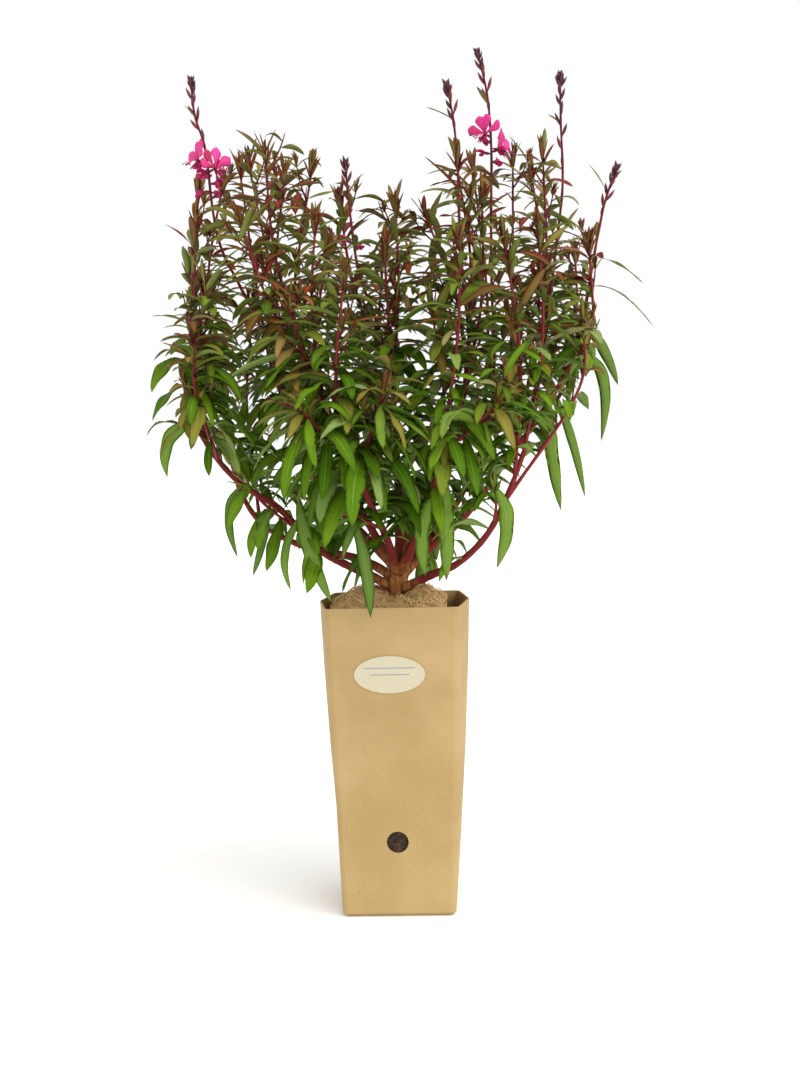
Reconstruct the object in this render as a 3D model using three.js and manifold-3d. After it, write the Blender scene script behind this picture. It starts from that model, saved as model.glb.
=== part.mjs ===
// A bushy pink gaura in a tall folded board pot, in millimetres, +Z up.
// The pot stands on Z = 0, its axis is the Z axis and its label faces -Y.
import * as THREE from 'three';
import { mergeVertices } from 'three/addons/utils/BufferGeometryUtils.js';
import Module from 'manifold-3d';

// Pot: a square tapered tube of board whose side walls bulge out along a middle crease.
const POT_HEIGHT = 283;
const POT_TOP_HALF = 60.5;
const POT_BOTTOM_HALF = 51.6;
const POT_CORNER = 4.5;
const POT_CREASE = 8.5;
const BOARD = 1.4;
const POT_FLOOR = 2.8;
const DRAIN_RADIUS = 10;
const DRAIN_HEIGHT = 69;

// Label: an oval of paper held just off the board.
const LABEL_WIDTH = 64;
const LABEL_HEIGHT = 34;
const LABEL_THICK = 0.6;
const LABEL_CENTRE = [-3.5, 223];
const GAP = 0.3;

// Compost and the coir mat over it.
const COMPOST_TOP = 267;
const MAT_BOTTOM = 267.4;
const MAT_EDGE = 277;
const MAT_DOME = 19;
const MAT_HALF = 53;
const MAT_SHIFT = -3.5;
const MAT_CUT = 48;
const CROWN_HOLE = 12.5;

// Leaves and stems.
const BLADE_THICK = 0.7;
const SHORT_LEAF = 60;
const STEM_STEPS = 6;
const WAND_STEPS = 10;
const STEM_SIDES = 4;
const GOLDEN_ANGLE = 2.39996;
const KEEP_APART = 4.4;
const SAMPLE_STEP = 4.5;
const HASH_CELL = 12;
const ARM_RADIUS = [3.8, 2.1];
const CROWN_RADIUS = [10.5, 8];

// Old wood: the crown and the bare lower branches that fan out of it, base to tip.
const CROWN = [[3, -1, 236], [3, -1, 262], [1, -1, 290], [4, 0, 317]];
const ARMS = {
  left_low: [[2, 0, 292], [-20, -9, 306], [-43, -24, 319], [-66, -43, 336], [-99, -56, 374],
    [-131, -53, 395], [-157, -48, 424], [-177, -41, 462], [-183, -32, 496]],
  left_back: [[1, 5, 302], [-28, 23, 317], [-62, 42, 324], [-92, 56, 330], [-129, 69, 350],
    [-151, 78, 383], [-158, 82, 421]],
  left_front: [[1, -5, 310], [-15, -28, 345], [-31, -49, 383], [-40, -62, 428], [-54, -60, 464],
    [-66, -53, 493]],
  left_inner: [[2, 7, 311], [-31, 37, 342], [-69, 59, 382], [-90, 71, 425], [-103, 72, 464],
    [-108, 68, 488]],
  centre: [[5, 0, 312], [6, -8, 358], [6, -16, 421], [4, -14, 467], [2, -8, 498]],
  right_inner: [[8, -2, 311], [17, -8, 333], [26, -17, 357], [39, -26, 396], [55, -32, 433],
    [67, -31, 467], [74, -27, 492]],
  right_main: [[8, 1, 305], [29, 7, 326], [57, 18, 348], [79, 27, 371], [105, 36, 406],
    [135, 43, 443], [158, 44, 478], [173, 41, 509]],
  right_low: [[9, -4, 294], [34, -21, 307], [59, -46, 320], [85, -71, 347], [104, -88, 384],
    [118, -93, 420]],
  right_back: [[7, 8, 310], [31, 41, 332], [58, 72, 364], [82, 95, 411], [95, 104, 454]],
  front_left: [[3, -6, 309], [-2, -41, 338], [-14, -79, 374], [-29, -99, 412], [-42, -108, 443]],
  back: [[5, 8, 311], [8, 48, 341], [2, 82, 384], [-9, 102, 432], [-20, 107, 471]],
  front_right: [[6, -6, 310], [20, -43, 338], [36, -83, 373], [46, -104, 413], [52, -110, 446]],
};

// How each kind of stem is dressed: leaf count, where leaves start, and values from base to tip.
const KINDS = {
  tall: { leaves: 7, from: 0.1, length: [64, 28], width: [0.2, 0.17], lift: [0.3, 1.1],
    sag: [1.6, 0.3], radius: [1.9, 0.9] },
  mid: { leaves: 6, from: 0.12, length: [74, 36], width: [0.2, 0.18], lift: [0.2, 0.9],
    sag: [1.9, 0.6], radius: [1.8, 0.9] },
  low: { leaves: 6, from: 0.15, length: [88, 56], width: [0.2, 0.19], lift: [0.1, 0.5],
    sag: [2.3, 1.4], radius: [1.7, 1.0] },
  spray: { leaves: 4, from: 0.2, length: [72, 60], width: [0.2, 0.2], lift: [0.1, 0.3],
    sag: [2.4, 2.0], radius: [1.6, 1.1] },
  wand: { leaves: 3, from: 0.12, length: [46, 26], width: [0.16, 0.14], lift: [0.4, 1.0],
    sag: [0.9, 0.2], radius: [1.7, 0.9] },
};

// Every leafy stem and wand: the branch it grows from, how far along, the points it passes, its kind.
const STEMS = {
  shoot_left_low_a: ['left_low', 1.0, [[-170, -52, 532], [-166, -41, 634]], 'tall'],
  shoot_left_low_b: ['left_low', 0.92, [[-163, -84, 505], [-153, -78, 572]], 'mid'],
  shoot_left_low_c: ['left_low', 0.78, [[-181, -2, 530], [-171, 18, 667]], 'tall'],
  shoot_left_low_d: ['left_low', 0.72, [[-162, -98, 475], [-163, -94, 524]], 'mid'],
  shoot_left_back_a: ['left_back', 1.0, [[-177, 85, 566], [-156, 72, 682]], 'tall'],
  shoot_left_back_b: ['left_back', 0.85, [[-185, 55, 523], [-187, 48, 593]], 'mid'],
  shoot_left_back_c: ['left_back', 0.68, [[-136, 123, 577]], 'mid'],
  shoot_left_front_a: ['left_front', 1.0, [[-101, -62, 687]], 'tall'],
  shoot_left_front_b: ['left_front', 0.92, [[-121, -100, 626]], 'tall'],
  shoot_left_front_c: ['left_front', 0.84, [[-56, -84, 624]], 'tall'],
  shoot_left_front_d: ['left_front', 0.72, [[-78, -125, 552]], 'mid'],
  shoot_left_inner_a: ['left_inner', 0.93, [[-102, 50, 530], [-128, 29, 697]], 'tall'],
  shoot_left_inner_b: ['left_inner', 0.85, [[-98, 84, 689]], 'tall'],
  shoot_left_inner_c: ['left_inner', 0.72, [[-122, 90, 520], [-143, 82, 698]], 'tall'],
  shoot_left_inner_d: ['left_inner', 0.62, [[-68, 47, 691]], 'tall'],
  shoot_left_inner_e: ['left_inner', 0.48, [[-61, 110, 618]], 'tall'],
  shoot_centre_a: ['centre', 0.93, [[-42, 2, 651]], 'tall'],
  shoot_centre_b: ['centre', 0.85, [[10, -14, 644]], 'tall'],
  shoot_centre_c: ['centre', 0.76, [[1, -66, 597]], 'tall'],
  shoot_right_inner_a: ['right_inner', 0.93, [[35, -5, 635]], 'tall'],
  shoot_right_inner_b: ['right_inner', 0.85, [[64, -60, 680]], 'tall'],
  shoot_right_inner_c: ['right_inner', 0.74, [[87, -57, 647]], 'tall'],
  shoot_right_inner_d: ['right_inner', 0.6, [[40, -90, 551]], 'mid'],
  shoot_right_main_a: ['right_main', 0.93, [[186, 11, 526], [182, -11, 605]], 'mid'],
  shoot_right_main_b: ['right_main', 0.87, [[177, 92, 606]], 'tall'],
  shoot_right_main_c: ['right_main', 0.7, [[135, 73, 684]], 'tall'],
  shoot_right_main_d: ['right_main', 0.6, [[143, 0, 692]], 'tall'],
  shoot_right_low_a: ['right_low', 1.0, [[134, -75, 613]], 'tall'],
  shoot_right_low_b: ['right_low', 0.88, [[103, -96, 606]], 'tall'],
  shoot_right_low_c: ['right_low', 0.76, [[165, -86, 470], [172, -81, 531]], 'mid'],
  shoot_right_back_a: ['right_back', 0.88, [[113, 80, 508], [119, 76, 700]], 'tall'],
  shoot_right_back_b: ['right_back', 0.8, [[80, 116, 697]], 'tall'],
  shoot_right_back_c: ['right_back', 0.72, [[151, 141, 600]], 'mid'],
  shoot_front_left_a: ['front_left', 1.0, [[-29, -126, 576]], 'mid'],
  shoot_front_left_b: ['front_left', 0.82, [[-70, -150, 466]], 'low'],
  shoot_front_left_c: ['front_left', 0.68, [[4, -146, 481]], 'low'],
  shoot_back_a: ['back', 1.0, [[-6, 124, 626]], 'tall'],
  shoot_back_b: ['back', 0.72, [[-52, 154, 587]], 'mid'],
  shoot_front_right_a: ['front_right', 1.0, [[67, -115, 603]], 'mid'],
  shoot_front_right_b: ['front_right', 0.8, [[104, -146, 472]], 'low'],
  spray_left_low: ['left_low', 0.42, [[-130, -72, 402]], 'spray'],
  spray_left: ['left_front', 0.3, [[-82, -68, 386]], 'spray'],
  spray_front_left: ['front_left', 0.36, [[-34, -94, 372]], 'spray'],
  spray_front_right: ['front_right', 0.42, [[50, -92, 408]], 'spray'],
  spray_right_low: ['right_low', 0.66, [[92, -100, 392]], 'spray'],
  wand_left: ['left_inner', 1.0, [[-122, 55, 535], [-139, 35, 576], [-152, 16, 608],
    [-157, 2, 642], [-160, -10, 694], [-168, -15, 725], [-170, -17, 755]], 'wand'],
  wand_centre: ['centre', 1.0, [[-10, -16, 539], [-23, -27, 578], [-28, -31, 613],
    [-31, -33, 648], [-33, -33, 676]], 'wand'],
  wand_inner: ['right_inner', 1.0, [[73, -19, 528], [69, -9, 573], [67, -1, 614], [66, 5, 681],
    [63, 6, 719], [58, 6, 748]], 'wand'],
  wand_tallest: ['right_back', 1.0, [[98, 82, 512], [96, 52, 567], [96, 26, 629], [97, 8, 690],
    [94, 0, 737], [86, -5, 774]], 'wand'],
  wand_right: ['right_main', 0.8, [[142, 36, 495], [150, 30, 564], [158, 26, 623],
    [162, 24, 663], [161, 24, 717], [161, 24, 756]], 'wand'],
  wand_far_right: ['right_main', 1.0, [[181, 31, 545], [188, 23, 585], [193, 20, 612],
    [200, 16, 643], [210, 14, 671]], 'wand'],
};

// Large leaves that give the bush its outline: stem, place on it, bend point, tip and width.
const LARGE_LEAVES = [
  ['spray_front_left', 0.95, [-15, -92, 336], [-18, -78, 277], 13],
  ['spray_front_left', 0.6, [-32, -104, 365], [-40, -98, 330], 9],
  ['spray_left', 0.95, [-78, -96, 338], [-52, -72, 290], 14],
  ['spray_left', 0.7, [-98, -94, 344], [-86, -90, 304], 8],
  ['spray_front_right', 0.95, [58, -112, 366], [49, -76, 308], 15],
  ['spray_front_right', 0.6, [30, -106, 364], [31, -76, 312], 14],
  ['spray_right_low', 0.95, [107, -106, 368], [93, -92, 320], 14],
  ['spray_right_low', 0.6, [86, -118, 397], [74, -132, 372], 10],
  ['spray_left_low', 0.9, [-143, -84, 384], [-133, -80, 332], 8],
  ['spray_left_low', 0.5, [-111, -86, 362], [-120, -82, 316], 8],
  ['shoot_left_low_d', 0.12, [-200, -52, 468], [-214, -54, 440], 10],
  ['shoot_left_low_d', 0.3, [-196, -76, 450], [-192, -82, 404], 13],
  ['wand_right', 0.05, [149, 14, 440], [155, 8, 361], 14],
  ['wand_right', 0.1, [170, 20, 452], [178, 18, 372], 9],
  ['shoot_right_main_a', 0.2, [200, 20, 500], [193, 14, 424], 12],
  ['wand_far_right', 0.12, [200, 34, 526], [211, 32, 475], 11],
  ['wand_far_right', 0.3, [211, 22, 572], [243, 19, 527], 6],
  ['wand_far_right', 0.45, [214, 34, 592], [236, 38, 568], 6],
];

// How far the leaves reach: height, left limit and right limit.
const OUTLINE = [[284, -75, 50], [341, -148, 74], [400, -172, 112], [440, -205, 172],
  [480, -210, 198], [560, -205, 200], [600, -195, 205], [670, -188, 203], [704, -180, 158],
  [800, -180, 158]];

// Blooms: the wand, place on it, the way the flower faces and the turn of its petals.
const BLOOMS = {
  bloom_left_a: ['wand_left', 0.68, [-0.75, -0.6, 0.25], 0.3],
  bloom_left_b: ['wand_left', 0.66, [0.72, -0.62, 0.3], 1.1],
  bloom_right_a: ['wand_tallest', 0.7, [-0.55, -0.8, 0.25], 0.5],
  bloom_right_b: ['wand_tallest', 0.66, [0.85, -0.45, 0.2], 0.9],
};

// Bud spikes: where on the wand the buds start and how many there are.
const SPIKES = {
  wand_left: [0.66, 12], wand_centre: [0.72, 10], wand_inner: [0.7, 12],
  wand_tallest: [0.7, 12], wand_right: [0.62, 14], wand_far_right: [0.6, 12],
};

const COLOURS = {
  board: 0xc8ac76, label: 0xe2dec4, compost: 0x2b1c12, coir: 0xaf8c5a, wood: 0x7a4a2a,
  leaf: 0x55792c, upper: 0x6d7a3c, wand: 0x8a2a44, petal: 0xe03a90,
};

const wasm = await Module();
wasm.setup();

// Park-Miller draw between 0 and 1, so that the plant grows the same way each time.
function seeded(seed) {
  let state = seed;
  return () => {
    state = (state * 16807) % 2147483647;
    return state / 2147483647;
  };
}

const mix = (pair, t) => pair[0] + (pair[1] - pair[0]) * t;
const vector = (point) => new THREE.Vector3(point[0], point[1], point[2]);
const along = (point, direction, length) => point.clone().addScaledVector(direction, length);

function curveThrough(points) {
  return new THREE.CatmullRomCurve3(points, false, 'catmullrom', 0.5);
}

function tangentAt(curve, t) {
  const ahead = curve.getPoint(Math.min(t + 0.002, 1));
  return ahead.sub(curve.getPoint(Math.max(t - 0.002, 0))).normalize();
}

// A point on a stem's straight-sided run, so that what grows from it is sunk in it.
function stemPoint(stem, place) {
  const at = Math.min(place, 0.9999) * stem.steps;
  const step = Math.floor(at);
  const start = stem.curve.getPoint(step / stem.steps);
  return start.lerp(stem.curve.getPoint((step + 1) / stem.steps), at - step);
}

// Two axes square to a direction.
function squareTo(direction) {
  const helper = Math.abs(direction.z) > 0.9 ? new THREE.Vector3(1, 0, 0) : new THREE.Vector3(0, 0, 1);
  const first = direction.clone().cross(helper).normalize();
  return [first, direction.clone().cross(first).normalize()];
}

// A closed geometry from rings of equal size, ending in flat caps or, with a tip, in one point.
function ringGeometry(rings, tip) {
  const sides = rings[0].length;
  const positions = rings.flat().flatMap((p) => [p.x, p.y, p.z]);
  const faces = [];
  for (let ring = 0; ring + 1 < rings.length; ring += 1) {
    for (let side = 0; side < sides; side += 1) {
      const a = ring * sides + side;
      const b = ring * sides + (side + 1) % sides;
      faces.push(a, b, b + sides, a, b + sides, a + sides);
    }
  }
  for (let side = 1; side + 1 < sides; side += 1) {
    faces.push(0, side + 1, side);
  }
  const last = (rings.length - 1) * sides;
  if (tip) {
    positions.push(tip.x, tip.y, tip.z);
    for (let side = 0; side < sides; side += 1) {
      faces.push(last + side, last + (side + 1) % sides, last + sides);
    }
  } else {
    for (let side = 1; side + 1 < sides; side += 1) {
      faces.push(last, last + side, last + side + 1);
    }
  }
  const geometry = new THREE.BufferGeometry();
  geometry.setAttribute('position', new THREE.Float32BufferAttribute(positions, 3));
  geometry.setIndex(faces);
  return geometry;
}

// A blade of even thickness between its root and its tip, which are points.
// Its top and underside are split into triangles alike.
function bladeGeometry(root, centres, sideways, normals, halfWidths, tip) {
  const half = BLADE_THICK / 2;
  const rings = centres.map((centre, i) => [
    along(along(centre, sideways[i], halfWidths[i]), normals[i], half),
    along(along(centre, sideways[i], -halfWidths[i]), normals[i], half),
    along(along(centre, sideways[i], -halfWidths[i]), normals[i], -half),
    along(along(centre, sideways[i], halfWidths[i]), normals[i], -half),
  ]);
  const positions = rings.flat().concat([root, tip]).flatMap((p) => [p.x, p.y, p.z]);
  const faces = [];
  const end = rings.length * 4;
  for (let i = 0; i < end - 4; i += 4) {
    faces.push(i, i + 1, i + 5, i, i + 5, i + 4);
    faces.push(i + 1, i + 2, i + 6, i + 1, i + 6, i + 5);
    faces.push(i + 2, i + 3, i + 6, i + 3, i + 7, i + 6);
    faces.push(i + 3, i, i + 4, i + 3, i + 4, i + 7);
  }
  for (let side = 0; side < 4; side += 1) {
    const next = (side + 1) % 4;
    faces.push(next, side, end);
    faces.push(end - 4 + side, end - 4 + next, end + 1);
  }
  const geometry = new THREE.BufferGeometry();
  geometry.setAttribute('position', new THREE.Float32BufferAttribute(positions, 3));
  geometry.setIndex(faces);
  return geometry;
}

// A slim pointed solid of three sides, such as a bud or a stamen, widest part of the way along.
function spindleGeometry(root, direction, length, radius, widest) {
  const [east, north] = squareTo(direction);
  const centre = along(root, direction, widest * length);
  const corners = [0, 1, 2].map((side) => {
    const angle = side * Math.PI * 2 / 3;
    return along(along(centre, east, Math.cos(angle) * radius), north, Math.sin(angle) * radius);
  });
  const positions = [...corners, root, along(root, direction, length)];
  const geometry = new THREE.BufferGeometry();
  geometry.setAttribute('position',
    new THREE.Float32BufferAttribute(positions.flatMap((p) => [p.x, p.y, p.z]), 3));
  geometry.setIndex([1, 0, 3, 2, 1, 3, 0, 2, 3, 0, 1, 4, 1, 2, 4, 2, 0, 4]);
  return geometry;
}

function solidOf(geometry) {
  const bare = geometry.clone();
  bare.deleteAttribute('normal');
  bare.deleteAttribute('uv');
  const merged = mergeVertices(bare, 1e-5);
  const vertProperties = new Float32Array(merged.attributes.position.array);
  const triVerts = new Uint32Array(merged.index.array);
  return new wasm.Manifold(new wasm.Mesh({ numProp: 3, vertProperties, triVerts }));
}

function geometryOf(solid) {
  const mesh = solid.getMesh();
  const geometry = new THREE.BufferGeometry();
  geometry.setAttribute('position', new THREE.Float32BufferAttribute(mesh.vertProperties, 3));
  geometry.setIndex(Array.from(mesh.triVerts));
  geometry.computeVertexNormals();
  return geometry;
}

function joined(solids) {
  return solids.reduce((whole, solid) => whole.add(solid));
}

// The cut at a branch can leave a loose scrap, which is dropped.
function largestBody(solid) {
  return solid.decompose().reduce((best, body) => (body.volume() > best.volume() ? body : best));
}

// A round stem along a curve, its frame carried along so that it doesn't twist.
function stemSolid(curve, radii, steps, sides = STEM_SIDES) {
  const rings = [];
  let across = squareTo(tangentAt(curve, 0))[0];
  for (let step = 0; step <= steps; step += 1) {
    const t = step / steps;
    const forward = tangentAt(curve, t);
    across = across.clone().addScaledVector(forward, -across.dot(forward)).normalize();
    const up = forward.clone().cross(across);
    const radius = mix(radii, t);
    const centre = curve.getPoint(t);
    rings.push(Array.from({ length: sides }, (_, side) => {
      const angle = side / sides * Math.PI * 2;
      return along(along(centre, across, Math.cos(angle) * radius), up, Math.sin(angle) * radius);
    }));
  }
  return solidOf(ringGeometry(rings, null));
}

const armCurves = {};
for (const [name, points] of Object.entries(ARMS)) {
  armCurves[name] = curveThrough(points.map(vector));
}

// Each stem leaves its branch, bows outwards a little and runs through its points.
const stems = {};
for (const [name, [arm, place, points, kind]] of Object.entries(STEMS)) {
  const foot = armCurves[arm].getPoint(place);
  const path = points.map(vector);
  if (path.length === 1) {
    const middle = foot.clone().lerp(path[0], 0.5);
    const outward = new THREE.Vector3(middle.x, middle.y, 0).normalize();
    path.unshift(along(middle, outward, 0.06 * foot.distanceTo(path[0])));
  }
  const steps = kind === 'wand' ? WAND_STEPS : STEM_STEPS;
  stems[name] = { name, arm, kind, steps, curve: curveThrough([foot, ...path]), leaves: [] };
}

// Points already taken, in cells, so that the leaves of one stem keep off those of another.
const taken = new Map();
function take(point, radius, owner) {
  const key = [point.x, point.y, point.z].map((v) => Math.floor(v / HASH_CELL)).join();
  if (!taken.has(key)) {
    taken.set(key, []);
  }
  taken.get(key).push({ point, radius, owner });
}

function isFree(point, radius, owner) {
  const [i, j, k] = [point.x, point.y, point.z].map((v) => Math.floor(v / HASH_CELL));
  for (let x = i - 1; x <= i + 1; x += 1) {
    for (let y = j - 1; y <= j + 1; y += 1) {
      for (let z = k - 1; z <= k + 1; z += 1) {
        for (const other of taken.get([x, y, z].join()) ?? []) {
          if (other.owner !== owner && other.point.distanceTo(point) < other.radius + radius) {
            return false;
          }
        }
      }
    }
  }
  return true;
}

function takeCurve(curve, radii, owner) {
  const count = Math.ceil(curve.getLength() / 4);
  for (let i = 0; i <= count; i += 1) {
    take(curve.getPoint(i / count), mix(radii, i / count) + 0.6, owner);
  }
}

// Points spread over a leaf, in one or three rows.
function leafSamples(leaf) {
  const [root, bend, tip] = leaf.path;
  const count = Math.max(3, Math.ceil(leaf.length / SAMPLE_STEP));
  const rows = leaf.width > 6 ? [-0.3, 0, 0.3] : [0];
  const points = [];
  for (let i = 1; i <= count; i += 1) {
    const t = i / count;
    const centre = root.clone().multiplyScalar((1 - t) * (1 - t));
    centre.addScaledVector(bend, 2 * t * (1 - t)).addScaledVector(tip, t * t);
    for (const row of rows) {
      points.push(along(centre, leaf.side, row * leaf.width));
    }
  }
  return points;
}

function overPot(point) {
  const inFrontOfCrown = point.z < 338 && point.y < 0 && Math.abs(point.x - 12) < 30;
  return inFrontOfCrown || (point.z < 302 && Math.abs(point.x) < 72 && Math.abs(point.y) < 64);
}

function inOutline(point) {
  const above = Math.max(OUTLINE.findIndex((row) => row[0] > point.z), 1);
  const [low, high] = [OUTLINE[above - 1], OUTLINE[above]];
  const share = (point.z - low[0]) / (high[0] - low[0]);
  return point.x > mix([low[1], high[1]], share) && point.x < mix([low[2], high[2]], share);
}

function leafFits(leaf, owner) {
  return inOutline(leaf.path[2])
    && leafSamples(leaf).every((p) => !overPot(p) && isFree(p, KEEP_APART / 2, owner));
}

function addLeaf(stem, leaf) {
  stem.leaves.push(leaf);
  for (const point of leafSamples(leaf)) {
    take(point, KEEP_APART / 2, stem.name);
  }
}

// A leaf from its root, first direction, length, sag and roll.
function makeLeaf(root, first, length, width, sag, roll) {
  const second = along(first, new THREE.Vector3(0, 0, -1), sag).normalize();
  const bend = along(root, first, length * 0.5);
  const tip = along(bend, second, length * 0.5);
  const level = first.clone().cross(new THREE.Vector3(0, 0, 1));
  const flat = level.length() > 0.2 ? level.normalize() : squareTo(first)[0];
  const normal = flat.clone().cross(first).normalize();
  const side = flat.clone().multiplyScalar(Math.cos(roll)).addScaledVector(normal, Math.sin(roll));
  return { path: [root, bend, tip], length, width, side };
}

// The n-th leaf of a stem, tried a few times at other turns and shorter until it hangs clear.
function growLeaf(stem, n, random) {
  const kind = KINDS[stem.kind];
  const place = kind.from + (0.94 - kind.from) * (n + 0.3 + 0.4 * random()) / kind.leaves;
  const size = 0.8 + 0.4 * random();
  const tilt = 0.7 + 0.6 * random();
  const roll = (random() - 0.5) * 1.2;
  const root = stemPoint(stem, place);
  const forward = tangentAt(stem.curve, place);
  const [east, north] = squareTo(forward);
  for (let attempt = 0; attempt < 8; attempt += 1) {
    const turn = n * GOLDEN_ANGLE + attempt * 0.8 + stem.turn;
    const out = east.clone().multiplyScalar(Math.cos(turn)).addScaledVector(north, Math.sin(turn));
    const first = along(out, forward, mix(kind.lift, place)).normalize();
    const length = mix(kind.length, place) * size * (1 - 0.06 * attempt);
    const width = length * mix(kind.width, place);
    const leaf = makeLeaf(root, first, length, width, mix(kind.sag, place) * tilt, roll);
    if (leafFits(leaf, stem.name)) {
      addLeaf(stem, leaf);
      return;
    }
  }
}

// Two short upright leaves close each shoot's tip.
function growTuft(stem, random) {
  const root = stemPoint(stem, 0.97);
  const forward = tangentAt(stem.curve, 0.97);
  const [east, north] = squareTo(forward);
  for (let n = 0; n < 2; n += 1) {
    const turn = n * 3.1 + stem.turn;
    const out = east.clone().multiplyScalar(Math.cos(turn)).addScaledVector(north, Math.sin(turn));
    const first = along(out, forward, 1.8 + random()).normalize();
    const length = 18 + 9 * random();
    const leaf = makeLeaf(root, first, length, 4.2, 0.1, 0);
    if (leafFits(leaf, stem.name)) {
      addLeaf(stem, leaf);
    }
  }
}

for (const name of Object.keys(ARMS)) {
  takeCurve(armCurves[name], ARM_RADIUS, 'crown');
}
for (const stem of Object.values(stems)) {
  takeCurve(stem.curve, KINDS[stem.kind].radius, stem.name);
}
for (const [name, [from]] of Object.entries(SPIKES)) {
  for (let i = 0; i <= 20; i += 1) {
    take(stems[name].curve.getPoint(from + (1 - from) * i / 20), 8, name);
  }
}
for (const [name, place, bend, tip, width] of LARGE_LEAVES) {
  const stem = stems[name];
  const path = [stemPoint(stem, place), vector(bend), vector(tip)];
  const run = path[2].clone().sub(path[0]).normalize();
  const length = path[0].distanceTo(path[1]) + path[1].distanceTo(path[2]);
  const side = Math.abs(run.z) > 0.8 ? new THREE.Vector3(1, 0, 0) : squareTo(run)[0];
  addLeaf(stem, { path, length, width, side });
}
const random = seeded(7351);
for (const stem of Object.values(stems)) {
  stem.turn = random() * Math.PI * 2;
}
for (let n = 0; n < 12; n += 1) {
  for (const stem of Object.values(stems)) {
    if (n < KINDS[stem.kind].leaves) {
      growLeaf(stem, n, random);
    }
  }
}
for (const stem of Object.values(stems)) {
  if (stem.kind === 'tall' || stem.kind === 'mid' || stem.kind === 'low') {
    growTuft(stem, random);
  }
}

// One leaf blade, widest beyond its middle.
function leafSolid(leaf) {
  const [root, bend, tip] = leaf.path;
  const small = leaf.length < SHORT_LEAF;
  const places = small ? [0.5] : [0.36, 0.7];
  const shares = small ? [0.5] : [0.42, 0.5];
  const centres = [];
  const sideways = [];
  const normals = [];
  for (const t of places) {
    const centre = root.clone().multiplyScalar((1 - t) * (1 - t));
    centre.addScaledVector(bend, 2 * t * (1 - t)).addScaledVector(tip, t * t);
    const forward = bend.clone().sub(root).multiplyScalar(1 - t);
    forward.addScaledVector(tip.clone().sub(bend), t).normalize();
    const side = leaf.side.clone().addScaledVector(forward, -leaf.side.dot(forward)).normalize();
    centres.push(centre);
    sideways.push(side);
    normals.push(forward.clone().cross(side).normalize());
  }
  const halves = shares.map((share) => share * leaf.width);
  return solidOf(bladeGeometry(root, centres, sideways, normals, halves, tip));
}

// The buds of one wand, denser and shorter towards its tip.
function spikeSolids(stem) {
  const [from, count] = SPIKES[stem.name];
  const solids = [];
  for (let n = 0; n < count; n += 1) {
    const share = Math.sqrt((n + 0.5) / count);
    const place = Math.min(from + (1 - from) * share, 0.985);
    const forward = tangentAt(stem.curve, place);
    const [east, north] = squareTo(forward);
    const turn = n * GOLDEN_ANGLE;
    const out = east.multiplyScalar(Math.cos(turn)).addScaledVector(north, Math.sin(turn));
    const direction = along(out, forward, 1.5 + share).normalize();
    const length = 15 - 5 * share;
    const root = stemPoint(stem, place);
    solids.push(solidOf(spindleGeometry(root, direction, length, 2.2, 0.5)));
  }
  return solids;
}

function armGap(name) {
  const points = ARMS[name].map(vector);
  const last = points.length - 1;
  const end = points[last].clone().sub(points[last - 1]).normalize();
  points[last].addScaledVector(end, GAP);
  return stemSolid(curveThrough(points), ARM_RADIUS.map((r) => r + GAP), last + 2, 4);
}

const group = new THREE.Group();
function addMesh(name, solid, colour, roughness = 0.7) {
  const material = new THREE.MeshStandardMaterial({ color: colour, roughness, metalness: 0 });
  const mesh = new THREE.Mesh(geometryOf(solid), material);
  mesh.name = name;
  group.add(mesh);
  return mesh;
}

// Old wood: the crown with its branches in one piece.
const armGaps = {};
const woodSolids = [stemSolid(curveThrough(CROWN.map(vector)), CROWN_RADIUS, 4, 8)];
for (const name of Object.keys(ARMS)) {
  woodSolids.push(stemSolid(armCurves[name], ARM_RADIUS, ARMS[name].length + 1, 4));
  armGaps[name] = armGap(name);
}
const wood = joined(woodSolids);
addMesh('woody_crown', wood, COLOURS.wood, 0.85);

// Leafy stems and wands, each cut back from the branch that carries it.
for (const stem of Object.values(stems)) {
  const pieces = [stemSolid(stem.curve, KINDS[stem.kind].radius, stem.steps)];
  pieces.push(...stem.leaves.map(leafSolid));
  if (SPIKES[stem.name]) {
    pieces.push(...spikeSolids(stem));
  }
  const solid = largestBody(joined(pieces).subtract(armGaps[stem.arm]));
  const colour = stem.kind === 'wand' ? COLOURS.wand : COLOURS.leaf;
  addMesh(stem.name, solid, stem.kind === 'tall' ? COLOURS.upper : colour);
}

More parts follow.
